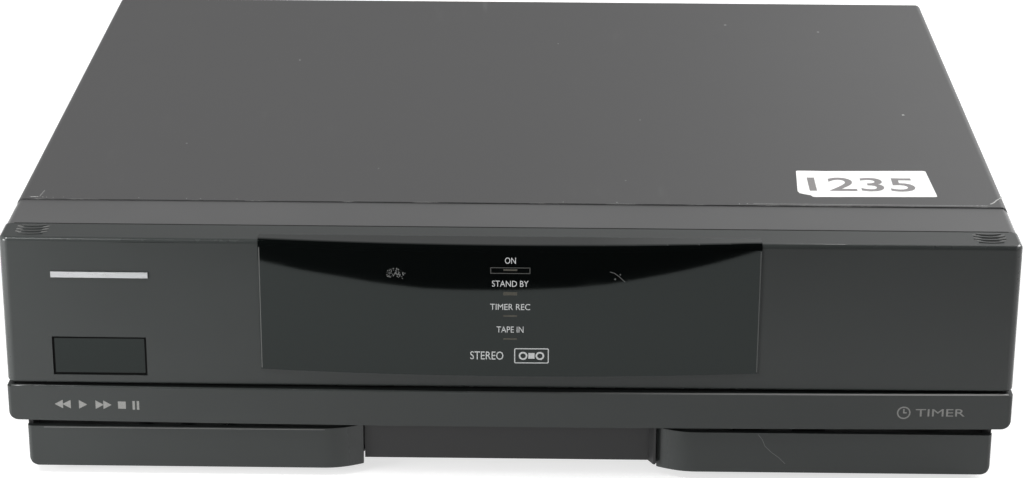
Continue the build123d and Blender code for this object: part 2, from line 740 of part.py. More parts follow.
with BuildPart() as shuttle_ring:
    rod_y(dial_x, fascia_y - ring_proud, cap_back, dial_z, ring_radius)
    fillet(shuttle_ring.faces().sort_by(Axis.Y)[0].edges(), 0.8)
    with Locations((dial_x, fascia_y - ring_proud, dial_z + (ring_radius + dial_radius) / 2)):
        Box(2.0, 1.0, 3.0, mode=CUT)
    rod_y(dial_x, fascia_y - ring_proud - 1, fascia_y, dial_z, dial_radius + running_clearance, CUT)
save("shuttle_ring", shuttle_ring.part)

with BuildPart() as level_knob:
    rod_y(knob_x, cap_face, cap_back, dial_z, knob_radius)
    fillet(level_knob.faces().sort_by(Axis.Y)[0].edges(), 0.6)
    block(knob_x - 0.6, knob_x + 0.6, cap_face - 0.4, cap_face + 0.6, dial_z, dial_z + knob_radius, CUT)
    rod_y(knob_x, spindle_end, fascia_y, dial_z, knob_spindle + running_clearance, CUT)
save("level_knob", level_knob.part)

for index, x in enumerate(low_key_xs):
    key(f"small_key_{index + 1}", x, low_key_z, low_key_width, low_key_height,
        front + pocket_face - ring_proud, front + pocket_face + wall)

# Three phono sockets behind the left-hand flap, each through its hole in the moulding.
with BuildPart() as front_jacks:
    for x in jack_xs:
        rod_y(x, front + pocket_face - jack_reach, front + pocket_face, jack_z, jack_radius)
        rod_y(x, front + pocket_face, front + pocket_face + wall + 2.0, jack_z, jack_neck)
        rod_y(x, front + pocket_face - jack_reach, front + pocket_face + 1.0, jack_z, jack_bore, CUT)
save("front_jacks", front_jacks.part)

# ---------------------------------------------------------------- tape deck
pin_radius = 1.4
frame_top = height - cover_sheet - frame_headroom
frame_length = 133.0
frame_tie_start = 150.0
frame_tie_length = 10.0
holder_floor = slot_bottom
holder_length = 104.0
floor_length = 80.0
holder_clear = 28.0  # inside height of the holder
holder_top = holder_floor + holder_clear
holder_lip = 12.0
holder_lid = 0.8
holder_tie_start = 72.0
holder_tie_end = 96.0
lug_setbacks = (66.0, 110.0)
lug_z = frame_top - 8.5
holder_pin_setbacks = (74.0, 118.0)
holder_pin_z = holder_floor + 15.5
slide_start = holder_start + 3.0
slide_length = 66.0
slide_bottom = holder_floor - 12.5
slide_tie_start = 62.0
slide_tie_end = 66.0
reel_post = 1.5
reel_radius = 16.0
notch_start = 88.0
notch_half = 20.0
guide_start = (30.0, 172.0)
guide_end = (40.0, 240.0)
guide_travel = hypot(guide_end[0] - guide_start[0], guide_end[1] - guide_start[1])
guide_angle = degrees(asin((guide_end[0] - guide_start[0]) / guide_travel))
guide_slot = 4.4
slot_ends = 10.0
capstan_x = deck_x + 62.0
capstan_y = front + 192.0
capstan_radius = 1.5
capstan_tube = 5.0
capstan_tube_height = 7.0
pinch_x = deck_x + 84.0
pinch_y = front + 212.0
pinch_post = 2.0
pinch_post_height = 14.0
pinch_reach = 28.3
pinch_angle = 261.5  # from +X, with the roller clear of the capstan
pinch_radius = 7.0
cam_x = deck_x - 60.0
cam_y = front + 215.0
cam_radius = 22.0
cam_post = 2.0
cam_post_length = 8.0
drum_y = front + drum_setback
drum_base_z = deck_top + 4.8
lower_drum_height = 13.0
upper_drum_height = 16.0
drum_gap = 0.3
drum_shaft = 3.0
drum_place = Location((deck_x, drum_y, drum_base_z), (drum_tilt, 0, 0))

# Steel deck plate with the posts that are riveted into it.
with BuildPart() as deck_plate:
    block(deck_x - deck_half, deck_x + deck_half, front + deck_start, front + deck_end, deck_bottom,
          deck_top)
    for s in (-1, 1):
        mid_x = deck_x + s * (guide_start[0] + guide_end[0]) / 2
        mid_y = front + (guide_start[1] + guide_end[1]) / 2
        with Locations(Location((mid_x, mid_y, deck_top - deck_sheet / 2), (0, 0, -s * guide_angle))):
            Box(guide_slot, guide_travel + slot_ends, 2 * deck_sheet, mode=CUT)
        post(deck_x + s * reel_spacing / 2, front + reel_setback, deck_top, deck_top + 12.8, reel_post)
    post(capstan_x, capstan_y, deck_bottom, deck_top, capstan_tube + fit_gap, CUT)
    post(pinch_x, pinch_y, deck_top, deck_top + pinch_post_height, pinch_post)
    post(cam_x, cam_y, deck_bottom - cam_post_length, deck_bottom, cam_post)
save("deck_plate", deck_plate.part)

# Side plates of the cassette lift, with level slots, tied together over the top.
with BuildPart() as lift_frame:
    for s in (-1, 1):
        x0, x1 = sorted((deck_x + s * frame_inner, deck_x + s * frame_outer))
        block(x0, x1, front + holder_start, front + holder_start + frame_length, deck_top, frame_top)
        for setback in lug_setbacks:
            block(x0, x1, front + setback - pin_radius - 0.2,
                  front + setback + cassette_run + pin_radius + 0.2,
                  lug_z - pin_radius - 0.1, lug_z + pin_radius + 0.1, CUT)
    block(deck_x - frame_outer, deck_x + frame_outer, front + frame_tie_start,
          front + frame_tie_start + frame_tie_length, frame_top, frame_top + frame_sheet)
save("lift_frame", lift_frame.part)

# Slides that carry the cassette holder back. Their upright slots let it down.
slide_outer = slide_inner + slide_sheet
with BuildPart() as lift_slides:
    for s in (-1, 1):
        x0, x1 = sorted((deck_x + s * slide_inner, deck_x + s * slide_outer))
        block(x0, x1, front + slide_start, front + slide_start + slide_length, slide_bottom, frame_top)
        for setback in holder_pin_setbacks:
            block(x0, x1, front + setback - pin_radius - 0.1, front + setback + pin_radius + 0.1,
                  holder_pin_z - cassette_drop - pin_radius - 0.2, holder_pin_z + pin_radius + 0.2, CUT)
        lug_x0, lug_x1 = sorted((deck_x + s * slide_outer, deck_x + s * (frame_outer - 0.2)))
        for setback in lug_setbacks:
            rod_x(lug_x0, lug_x1, front + setback, lug_z, pin_radius)
    block(deck_x - slide_outer, deck_x + slide_outer, front + slide_tie_start, front + slide_tie_end,
          frame_top - 0.6, frame_top)
save("lift_slides", lift_slides.part)

# Cassette holder: a sheet-metal cradle, open at the front and the rear.
holder_front = front + holder_start
floor_back = holder_front + floor_length
holder_back = holder_front + holder_length
lid_top = holder_top + holder_lid
with BuildPart() as cassette_holder:
    block(deck_x - holder_half, deck_x + holder_half, holder_front, floor_back, holder_floor,
          holder_floor + holder_sheet)
    for s in (-1, 1):
        x0, x1 = sorted((deck_x + s * (holder_half - holder_sheet), deck_x + s * holder_half))
        block(x0, x1, holder_front, holder_back, holder_floor, lid_top)
        x0, x1 = sorted((deck_x + s * (holder_half - holder_lip), deck_x + s * holder_half))
        block(x0, x1, holder_front, holder_back, holder_top, lid_top)
        notch_x = deck_x + s * reel_spacing / 2
        block(notch_x - notch_half, notch_x + notch_half, front + notch_start, floor_back,
              holder_floor, holder_floor + holder_sheet, CUT)
        x0, x1 = sorted((deck_x + s * holder_half, deck_x + s * (slide_outer - 0.1)))
        for setback in holder_pin_setbacks:
            rod_x(x0, x1, front + setback, holder_pin_z, pin_radius)
    block(deck_x - holder_half, deck_x + holder_half, front + holder_tie_start, front + holder_tie_end,
          holder_top, lid_top)
save("cassette_holder", cassette_holder.part)


reel_table = 4.2
spindle_height = 14.0
spindle_radius = 3.4
fin_length = 3.0
fin_thickness = 1.4
fin_height = 9.6


def reel(name, x):
    """A reel table: a disc, and a finned spindle that a cassette's reel drops onto."""
    reel_y = front + reel_setback
    with BuildPart() as piece:
        post(x, reel_y, deck_top + control_gap, deck_top + reel_table, reel_radius)
        post(x, reel_y, deck_top + reel_table, deck_top + spindle_height, spindle_radius)
        with Locations((x, reel_y, deck_top + reel_table + fin_height / 2)):
            with PolarLocations(spindle_radius + 0.2, 3):
                Box(fin_length, fin_thickness, fin_height)
        post(x, reel_y, deck_top, deck_top + spindle_height - 1.0, reel_post + running_clearance, CUT)
    save(name, piece.part)


reel("supply_reel", deck_x - reel_spacing / 2)
reel("takeup_reel", deck_x + reel_spacing / 2)

# Fixed lower drum on its base, with the shaft that the upper drum turns on.
with BuildPart() as lower_drum:
    with Locations(drum_place):
        Cylinder(drum_radius, lower_drum_height, align=LOW)
        Cylinder(drum_shaft, lower_drum_height + upper_drum_height + 1.0, align=LOW)
    post(deck_x, drum_y, deck_top, drum_base_z + 3.0, drum_radius - 9.0)
save("lower_drum", lower_drum.part)

# Spinning upper drum with a window for each video head.
TOP = (Align.CENTER, Align.CENTER, Align.MAX)
hub_groove = 11.0
hub_radius = 8.0
hub_depth = 2.0
drum_bore = drum_shaft + running_clearance
with BuildPart() as upper_drum:
    with Locations(drum_place * Location((0, 0, lower_drum_height + drum_gap))):
        Cylinder(drum_radius, upper_drum_height, align=LOW)
        Cylinder(drum_bore, upper_drum_height + 1.0, align=LOW, mode=CUT)
        for s in (-1, 1):
            with Locations((s * drum_radius, 0, 0.8)):
                Box(3.0, 6.0, 3.0, mode=CUT)
        with Locations((0, 0, upper_drum_height)):
            Cylinder(hub_groove, hub_depth, align=TOP, mode=CUT)
            Cylinder(hub_radius, hub_depth, align=TOP)
            Cylinder(drum_bore, hub_depth, align=TOP, mode=CUT)
save("upper_drum", upper_drum.part)

# Capstan motor under the deck: its stator and bearing tube, and the rotor with the capstan.
stator_radius = 20.0
stator_height = 9.0
rotor_radius = 27.0
rotor_top = deck_bottom - 4.0
rotor_web = deck_bottom - stator_height - 0.5
rotor_bottom = deck_bottom - 16.0
capstan_height = 27.0
with BuildPart() as capstan_motor:
    post(capstan_x, capstan_y, deck_bottom - stator_height, deck_bottom, stator_radius)
    post(capstan_x, capstan_y, deck_bottom, deck_top + capstan_tube_height, capstan_tube)
    post(capstan_x, capstan_y, deck_bottom - stator_height, deck_top + capstan_tube_height,
         capstan_radius + running_clearance, CUT)
save("capstan_motor", capstan_motor.part)

with BuildPart() as capstan_rotor:
    post(capstan_x, capstan_y, rotor_bottom, rotor_top, rotor_radius)
    post(capstan_x, capstan_y, rotor_web, rotor_top, stator_radius + 0.8, CUT)
    post(capstan_x, capstan_y, rotor_web, deck_top + capstan_height, capstan_radius)
save("capstan_rotor", capstan_rotor.part)

# Pinch arm on its post, and the rubber roller that it carries.
roller_x = pinch_x + pinch_reach * cos(radians(pinch_angle))
roller_y = pinch_y + pinch_reach * sin(radians(pinch_angle))
roller_pin = 1.2
roller_pin_length = 17.0
roller_height = 14.0
arm_z = deck_top + 6.8
arm_sheet = 1.6
arm_width = 6.0
roller_z = arm_z + arm_sheet + control_gap
arm_middle = ((pinch_x + roller_x) / 2, (pinch_y + roller_y) / 2, arm_z + arm_sheet / 2)
with BuildPart() as pinch_arm:
    post(pinch_x, pinch_y, deck_top + fit_gap, deck_top + pinch_post_height - 1.0, 4.5)
    with Locations(Location(arm_middle, (0, 0, pinch_angle))):
        Box(pinch_reach, arm_width, arm_sheet)
    post(roller_x, roller_y, arm_z, arm_z + arm_sheet, 3.5)
    post(roller_x, roller_y, arm_z, arm_z + roller_pin_length, roller_pin)
    post(pinch_x, pinch_y, deck_top, deck_top + pinch_post_height, pinch_post + running_clearance, CUT)
save("pinch_arm", pinch_arm.part)

with BuildPart() as pinch_roller:
    post(roller_x, roller_y, roller_z, roller_z + roller_height, pinch_radius)
    fillet(pinch_roller.edges(), 0.4)
    post(roller_x, roller_y, arm_z, arm_z + roller_pin_length, roller_pin + running_clearance, CUT)
save("pinch_roller", pinch_roller.part)

guide_base_width = 10.0
guide_base_length = 12.0
guide_base_top = 3.8
guide_roller = 3.0
guide_roller_top = 21.0


def guide(name, side):
    """A guide base that rides in its deck slot and draws the tape round the drum with its roller."""
    x = deck_x + side * guide_start[0]
    y = front + guide_start[1]
    with BuildPart() as piece:
        with Locations(Location((x, y, deck_top), (0, 0, -side * guide_angle))):
            with Locations((0, 0, guide_base_top / 2 + 0.1)):
                Box(guide_base_width, guide_base_length, guide_base_top - 0.1)
            Box(guide_slot - 0.6, 7.0, 3.6)
        post(x, y, deck_top + 3.5, deck_top + guide_roller_top, guide_roller)
        post(x, y, deck_top + guide_roller_top, deck_top + guide_roller_top + 1.0, guide_roller + 1.0)
    save(name, piece.part)


guide("supply_guide", -1)
guide("takeup_guide", 1)

# Loading cam under the deck, lightened by five holes, and the motor that drives it.
cam_bottom = deck_bottom - 6.5
cam_thickness = 5.0
cam_hole = 3.0
with BuildPart() as loading_cam:
    post(cam_x, cam_y, cam_bottom, cam_bottom + cam_thickness, cam_radius)
    with Locations((cam_x, cam_y, cam_bottom)):
        with PolarLocations(cam_radius - 7.0, 5):
            Cylinder(cam_hole, cam_thickness, align=LOW, mode=CUT)
    post(cam_x, cam_y, deck_bottom - cam_post_length, deck_bottom, cam_post + running_clearance, CUT)
save("loading_cam", loading_cam.part)

motor_x = deck_x - 82.0
motor_y = front + 242.0
motor_radius = 11.0
motor_top = deck_top + 24.0
with BuildPart() as loading_motor:
    post(motor_x, motor_y, deck_top, motor_top, motor_radius)
    fillet(loading_motor.edges().group_by(Axis.Z)[-1], 1.5)
    post(motor_x, motor_y, motor_top, motor_top + 2.0, 3.0)
save("loading_motor", loading_motor.part)

# Erase head, and the sound and control head, each on its base.
head_places = ((deck_x - 53.0, front + 186.0), (deck_x + 48.0, front + 200.0))
head_base = 5.0
head_top = 21.0
head_half = 5.0
with BuildPart() as tape_heads:
    for x, y in head_places:
        block(x - head_half - 2, x + head_half + 2, y - head_half - 1, y + head_half + 1, deck_top,
              deck_top + head_base)
        block(x - head_half, x + head_half, y - head_half + 1, y + head_half - 2, deck_top + head_base,
              deck_top + head_top)
save("tape_heads", tape_heads.part)

# ---------------------------------------------------------------- boards and power supply
board_top = board_z + pcb
chip_width = 26.0
chip_length = 20.0
chip_height = 3.0
chip_pitch = 50.0
chip_row_pitch = 70.0
can_radius = 3.0
can_height = 9.0
main_board_front = front + main_board_start
with BuildPart() as main_board:
    block(main_board_left, main_board_left + main_board_width, main_board_front,
          main_board_front + main_board_length, board_z, board_top)
    for row in range(3):
        for column in range(3):
            chip_x = main_board_left + 44.0 + chip_pitch * column
            chip_y = main_board_front + 34.0 + chip_row_pitch * row
            block(chip_x - chip_width / 2, chip_x + chip_width / 2, chip_y - chip_length / 2,
                  chip_y + chip_length / 2, board_top, board_top + chip_height)
    for row in range(6):
        for column in range(2):
            post(main_board_left + 10.0 + 8.0 * column, main_board_front + 114.0 + 18.0 * row, board_top,
                 board_top + can_height, can_radius)
save("main_board", main_board.part)

capacitor_radii = (9.0, 6.5, 5.0)
capacitor_heights = (34.0, 26.0, 20.0)
capacitor_x = power_board_left + 62.0
capacitor_y = front + power_board_start + 44.0
capacitor_pitch = 25.0
fuse_width = 10.0
fuse_height = 12.0
power_board_front = front + power_board_start
with BuildPart() as power_board:
    block(power_board_left, power_board_left + power_board_width, power_board_front,
          power_board_front + power_board_length, board_z, board_top)
    for column in range(4):
        fuse_x = power_board_left + 30.0 + 16.0 * column
        block(fuse_x, fuse_x + fuse_width, power_board_front + 12.0, power_board_front + 20.0, board_top,
              board_top + fuse_height)
    for row, (radius, tall) in enumerate(zip(capacitor_radii, capacitor_heights)):
        for s in (-1, 1):
            post(capacitor_x + s * (radius + 2.0), capacitor_y + capacitor_pitch * row, board_top,
                 board_top + tall, radius)
save("power_board", power_board.part)

core_left = power_board_left + 102.0
core_width = 60.0
core_length = 50.0
core_height = 44.0
core_front = power_board_front + 30.0
coil_inset = 12.0
coil_proud = 10.0
coil_rise = 9.0
with BuildPart() as transformer:
    block(core_left, core_left + core_width, core_front, core_front + core_length, board_top,
          board_top + core_height)
    block(core_left + coil_inset, core_left + core_width - coil_inset, core_front - coil_proud,
          core_front + core_length + coil_proud, board_top + coil_rise, board_top + core_height - coil_rise)
    fillet(transformer.edges().filter_by(Axis.Z), 1.0)
save("transformer", transformer.part)

sink_left = power_board_left + 14.0
sink_web = 3.0
sink_depth = 18.0
sink_front = power_board_front + 34.0
sink_length = 96.0
sink_height = 46.0
fin_sheet = 2.0
fin_pitch = 13.0
with BuildPart() as heat_sink:
    block(sink_left, sink_left + sink_web, sink_front, sink_front + sink_length, board_top,
          board_top + sink_height)
    for fin in range(8):
        fin_y = sink_front + 2.0 + fin_pitch * fin
        block(sink_left + sink_web, sink_left + sink_depth, fin_y, fin_y + fin_sheet, board_top,
              board_top + sink_height)
save("heat_sink", heat_sink.part)

# ---------------------------------------------------------------- rear
panel_front = rear_panel_y
panel_back = rear_panel_y + rear_panel_thickness
aerial_xs = (40.0 - half, 65.0 - half)
aerial_z = 46.0
aerial_radius = 4.75
aerial_wall = 0.8
aerial_collar = 5.6
contact_radius = 1.2
scart_xs = (111.0 - half, 165.0 - half)
scart_z = 34.0
scart_width = 47.0
scart_height = 15.0
scart_wall = 1.5
scart_depth = 14.0
socket_flange = 2.0
phono_xs = (half - 157.0, half - 137.0)
phono_zs = (32.0, 52.0)
phono_radius = 4.15
phono_bore = 1.7
phono_margin = 10.0
phono_reach = 7.5
inlet_x = half - 50.0
inlet_z = 38.0
inlet_width = 22.0
inlet_height = 13.0
inlet_wall = 2.0
inlet_pin_spacing = 8.6
vent_start = half - 195.0
vent_width = 8.0
vent_height = 3.0
vent_pitch = 12.0
vent_row_pitch = 8.0
vent_bottom = height - 34.0
can_left = 25.0 - half
can_width = 55.0
can_length = 61.0
tuner_height = 46.0
hole_gap = 0.3

with BuildPart() as tuner_can:
    block(can_left, can_left + can_width, panel_front - can_length, panel_front - fit_gap, board_top,
          board_top + tuner_height)
    fillet(tuner_can.edges().filter_by(Axis.Z), 1.0)
save("tuner_can", tuner_can.part)

with BuildPart() as rear_panel:
    panel_half = half - cover_sheet - hole_gap
    block(-base_half, base_half, panel_front, panel_back, foot_height, cover_skirt)
    block(-panel_half, panel_half, panel_front, panel_back, cover_skirt, height - cover_sheet - hole_gap)
    fillet(rear_panel.edges().filter_by(Axis.Y).group_by(Axis.Z)[-1], cover_bend - cover_sheet)
    for x in aerial_xs:
        rod_y(x, panel_front, panel_back, aerial_z, aerial_collar + 0.4, CUT)
    for x in scart_xs:
        block(x - scart_width / 2 - hole_gap, x + scart_width / 2 + hole_gap, panel_front, panel_back,
              scart_z - scart_height / 2 - hole_gap, scart_z + scart_height / 2 + hole_gap, CUT)
    for x in phono_xs:
        for z in phono_zs:
            rod_y(x, panel_front, panel_back, z, phono_radius + hole_gap, CUT)
    inlet_hole_x = inlet_width / 2 + inlet_wall + hole_gap
    inlet_hole_z = inlet_height / 2 + inlet_wall + hole_gap
    block(inlet_x - inlet_hole_x, inlet_x + inlet_hole_x, panel_front, panel_back,
          inlet_z - inlet_hole_z, inlet_z + inlet_hole_z, CUT)
    for row in range(3):
        for column in range(14):
            x = vent_start + vent_pitch * column
            z = vent_bottom + vent_row_pitch * row
            block(x, x + vent_width, panel_front, panel_back, z, z + vent_height, CUT)
save("rear_panel", rear_panel.part)

with BuildPart() as aerial_sockets:
    for x in aerial_xs:
        rod_y(x, panel_front - fit_gap, panel_back + 1.0, aerial_z, aerial_collar)
        rod_y(x, panel_back + 1.0, rear + socket_reach, aerial_z, aerial_radius)
        rod_y(x, panel_back + 1.5, rear + socket_reach, aerial_z, aerial_radius - aerial_wall, CUT)
        rod_y(x, panel_back + 1.0, rear + socket_reach - 1.0, aerial_z, contact_radius)
save("aerial_sockets", aerial_sockets.part)

shell_x = scart_width / 2
shell_z = scart_height / 2
with BuildPart() as scart_sockets:
    for x in scart_xs:
        block(x - shell_x, x + shell_x, panel_front - scart_depth, panel_back + 0.8, scart_z - shell_z,
              scart_z + shell_z)
        block(x - shell_x - socket_flange, x + shell_x + socket_flange, panel_front - 3.0, panel_front,
              scart_z - shell_z - socket_flange, scart_z + shell_z + socket_flange)
        block(x - shell_x + scart_wall, x + shell_x - scart_wall, panel_front - 10.0, panel_back + 0.8,
              scart_z - shell_z + scart_wall, scart_z + shell_z - scart_wall, CUT)
        for s in (-1, 1):
            block(x - 19.0, x + 19.0, panel_front - 10.0, panel_back - 1.0, scart_z + s * 3.2 - 0.6,
                  scart_z + s * 3.2 + 0.6)
save("scart_sockets", scart_sockets.part)

with BuildPart() as phono_sockets:
    block(phono_xs[0] - phono_margin, phono_xs[1] + phono_margin, panel_front - 10.0, panel_front,
          phono_zs[0] - phono_margin, phono_zs[1] + phono_margin)
    for x in phono_xs:
        for z in phono_zs:
            rod_y(x, panel_front, rear + phono_reach, z, phono_radius)
            rod_y(x, panel_front - 2.0, rear + phono_reach, z, phono_bore, CUT)
save("phono_sockets", phono_sockets.part)

with BuildPart() as mains_inlet:
    body_x = inlet_width / 2 + inlet_wall
    body_z = inlet_height / 2 + inlet_wall
    block(inlet_x - body_x, inlet_x + body_x, panel_front - 14.0, panel_back + 1.0, inlet_z - body_z,
          inlet_z + body_z)
    block(inlet_x - body_x - socket_flange, inlet_x + body_x + socket_flange, panel_front - 4.0,
          panel_front, inlet_z - body_z - socket_flange, inlet_z + body_z + socket_flange)
    block(inlet_x - inlet_width / 2, inlet_x + inlet_width / 2, panel_front - 11.0, panel_back + 1.0,
          inlet_z - inlet_height / 2, inlet_z + inlet_height / 2, CUT)
    for s in (-1, 1):
        rod_y(inlet_x + s * inlet_pin_spacing / 2, panel_front - 11.0, panel_back - 1.0, inlet_z,
              contact_radius)
save("mains_inlet", mains_inlet.part)
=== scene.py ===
# %% [markdown]
# # A video cassette recorder, dressed
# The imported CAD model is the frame: every part is already at its real place. This script gives each
# a finish, adds the thin things that a CAD model leaves out, such as printed marks and a paper label,
# and lights the whole as a studio would. Lengths are metres.

# %% Load the frame
import json
import math
import random

import bmesh
import bpy
from mathutils import Matrix, Vector


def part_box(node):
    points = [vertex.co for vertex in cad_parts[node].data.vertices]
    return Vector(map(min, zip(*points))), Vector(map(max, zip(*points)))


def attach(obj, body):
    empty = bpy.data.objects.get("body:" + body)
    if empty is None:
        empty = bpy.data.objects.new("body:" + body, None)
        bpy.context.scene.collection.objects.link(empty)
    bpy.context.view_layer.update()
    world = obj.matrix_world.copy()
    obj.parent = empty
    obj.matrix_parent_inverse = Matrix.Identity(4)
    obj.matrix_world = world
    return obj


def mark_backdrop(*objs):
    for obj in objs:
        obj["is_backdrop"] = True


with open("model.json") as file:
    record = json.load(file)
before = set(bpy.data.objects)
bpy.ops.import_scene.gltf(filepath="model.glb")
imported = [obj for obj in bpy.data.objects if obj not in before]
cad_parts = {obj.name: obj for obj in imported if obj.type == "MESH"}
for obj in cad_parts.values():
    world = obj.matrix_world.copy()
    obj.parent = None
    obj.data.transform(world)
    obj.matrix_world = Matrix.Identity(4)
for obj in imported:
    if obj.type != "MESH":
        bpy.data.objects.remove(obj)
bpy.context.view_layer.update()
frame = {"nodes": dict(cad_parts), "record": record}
scene = bpy.context.scene
MM = 0.001


def in_scene(name, data, *materials):
    """Puts a mesh, a lamp, a camera or a curve in the scene."""
    for material in materials:
        data.materials.append(material)
    made = bpy.data.objects.new(name, data)
    scene.collection.objects.link(made)
    return made


print("nodes in the frame:", len(frame["nodes"]))

# %% [markdown]
# Places come from the frame, never from a guess. The window's box tells where the front is, and the
# cover's box how wide and how high the whole is. Everything that is added is placed from these.


# %% Places read from the frame
def corners_of(node):
    """The low and the high corner of a node's box."""
    return [Vector(corner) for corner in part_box(node)]


door_high = corners_of("door_panel")[1]
window_low, window_high = corners_of("door_window")
cover_high = corners_of("top_cover")[1]
strip_low, strip_high = corners_of("trim_strip")
WINDOW_BULGE = 6.5 * MM  # the middle of the window, forward of the door's ends
WINDOW_ARC = 5.39 * MM  # how far its ends fall back from its middle
WINDOW_HALF = window_high.x
WINDOW_RADIUS = (WINDOW_HALF ** 2 + WINDOW_ARC ** 2) / (2 * WINDOW_ARC)
FRONT_Y = window_low.y + WINDOW_BULGE  # the door's face at its two ends
HALF_WIDTH = cover_high.x
COVER_TOP = cover_high.z
print("door face at y =", round(FRONT_Y, 4), "cover top at z =", round(COVER_TOP, 4))

# %% [markdown]
# ## Camera
# The recorder is seen from straight in front and 21 degrees above, through a long lens, so its sides
# hardly converge. The camera is set by the direction that it looks in and the direction to its right.

# %% Camera
CAMERA_BEFORE_FRONT = 1087.94 * MM
CAMERA_ABOVE_COVER = 421.26 * MM
CAMERA_X = 14.76 * MM
CAMERA_YAW, CAMERA_PITCH, CAMERA_ROLL = -0.0127, 0.3687, -0.0049  # radians
FOCAL_PIXELS = 2787.9
FRAME_WIDTH = 1024
SENSOR = 36.0


def camera_matrix():
    """The camera's place: heading, downward tilt and a slight roll."""
    forward = Vector((math.sin(CAMERA_YAW) * math.cos(CAMERA_PITCH),
                      math.cos(CAMERA_YAW) * math.cos(CAMERA_PITCH), -math.sin(CAMERA_PITCH)))
    level = Vector((math.cos(CAMERA_YAW), -math.sin(CAMERA_YAW), 0.0))
    below = forward.cross(level)
    right = math.cos(CAMERA_ROLL) * level + math.sin(CAMERA_ROLL) * below
    down = -math.sin(CAMERA_ROLL) * level + math.cos(CAMERA_ROLL) * below
    turn = Matrix((right, -down, -forward)).transposed().to_4x4()
    place = Vector((CAMERA_X, FRONT_Y - CAMERA_BEFORE_FRONT, COVER_TOP + CAMERA_ABOVE_COVER))
    return Matrix.Translation(place) @ turn


camera_data = bpy.data.cameras.new("camera")
camera_data.sensor_width = SENSOR
camera_data.lens = SENSOR * FOCAL_PIXELS / FRAME_WIDTH
camera_data.clip_end = 20.0
camera = in_scene("camera", camera_data)
camera.matrix_world = camera_matrix()
scene.camera = camera
scene.view_settings.view_transform = "Standard"
print("lens:", round(camera_data.lens, 1), "mm")

# %% [markdown]
# ## A small kit for materials
# A material is a graph of nodes. This wrapper adds a node, joins or sets its sockets by name, and has
# a short word for each step that comes often.


# %% Node helpers
class Graph:
    """A thin wrapper on a node tree, so that a graph reads as a recipe."""

    def __init__(self, tree):
        self.tree = tree

    def add(self, kind, **settings):
        """Adds a node and sets its plain properties."""
        node = self.tree.nodes.new(kind)
        for name, value in settings.items():
            setattr(node, name, value)
        return node

    def feed(self, socket, value):
        """Gives a socket a constant, or joins it to another socket."""
        if isinstance(value, bpy.types.NodeSocket):
            self.tree.links.new(value, socket)
        else:
            socket.default_value = value

    def fill(self, node, **values):
        """Feeds a node's named inputs; an underscore in a name stands for a space."""
        for name, value in values.items():
            self.feed(node.inputs[name.replace("_", " ")], value)
        return node

    def math(self, operation, a, b=0.0, clamp=False):
        """One arithmetic step."""
        node = self.add("ShaderNodeMath", operation=operation, use_clamp=clamp)
        self.feed(node.inputs[0], a)
        self.feed(node.inputs[1], b)
        return node.outputs[0]

    def times(self, a, b, clamp=False):
        """A product."""
        return self.math("MULTIPLY", a, b, clamp)

    def ramp(self, value, low, high, to_low=0.0, to_high=1.0):
        """Maps a range of a value to another range, and stops at its ends."""
        node = self.add("ShaderNodeMapRange", clamp=True)
        self.fill(node, Value=value, From_Min=low, From_Max=high, To_Min=to_low, To_Max=to_high)
        return node.outputs["Result"]

    def mix(self, factor, a, b):
        """Mixes two colours."""
        node = self.add("ShaderNodeMix", data_type="RGBA")
        for socket, value in ((0, factor), (6, a), (7, b)):  # the colour sockets of a Mix node
            self.feed(node.inputs[socket], value)
        return node.outputs[2]

    def place(self, kind="Object"):
        """The object's own coordinates, in metres, or its own normal."""
        return self.add("ShaderNodeTexCoord").outputs[kind]

    def axes(self, vector):
        """The X, Y and Z of a vector, by name."""
        return self.fill(self.add("ShaderNodeSeparateXYZ"), Vector=vector).outputs

    def noise(self, scale, detail=2.0, roughness=0.5, stretch=(1.0, 1.0, 1.0)):
        """Noise on the object's own coordinates, so that a scale is waves per metre."""
        mapping = self.fill(self.add("ShaderNodeMapping"), Vector=self.place(), Scale=stretch)
        node = self.add("ShaderNodeTexNoise")
        self.fill(node, Vector=mapping.outputs["Vector"], Scale=scale, Detail=detail, Roughness=roughness)
        return node.outputs["Fac"]

    def mask(self, group, **values):
        """Places a node group that gives one mask, with its own values for the named inputs."""
        return self.fill(self.add("ShaderNodeGroup", node_tree=group), **values).outputs["Mask"]

    def bump(self, shader, height, strength, distance):
        """Leans a shader's normal by a height."""
        node = self.add("ShaderNodeBump")
        self.fill(node, Strength=strength, Distance=distance, Height=height)
        self.fill(shader, Normal=node.outputs["Normal"])


def new_group(name, inputs, outputs=("Mask",)):
    """A node group, its graph and its given values. Inputs are a default for each name."""
    group = bpy.data.node_groups.new(name, "ShaderNodeTree")
    for label, default in inputs.items():
        made = group.interface.new_socket(label, in_out="INPUT", socket_type="NodeSocketFloat")
        made.default_value = default
    for label in outputs:
        group.interface.new_socket(label, in_out="OUTPUT", socket_type="NodeSocketFloat")
    g = Graph(group)
    return group, g, g.add("NodeGroupInput").outputs


def opaque(color, share=1.0):
    """A share of a colour, with the fourth value that a colour socket wants."""
    return tuple(c * share for c in color) + (1.0,)


print("node helpers ready")

# %% [markdown]
# ## Effects that several finishes share
# **Edge wear.** Paint and plastic rub through where an edge is handled. The Bevel node gives the
# normal of a rounded edge; where it leaves the true normal there is an edge. Noise breaks it up.


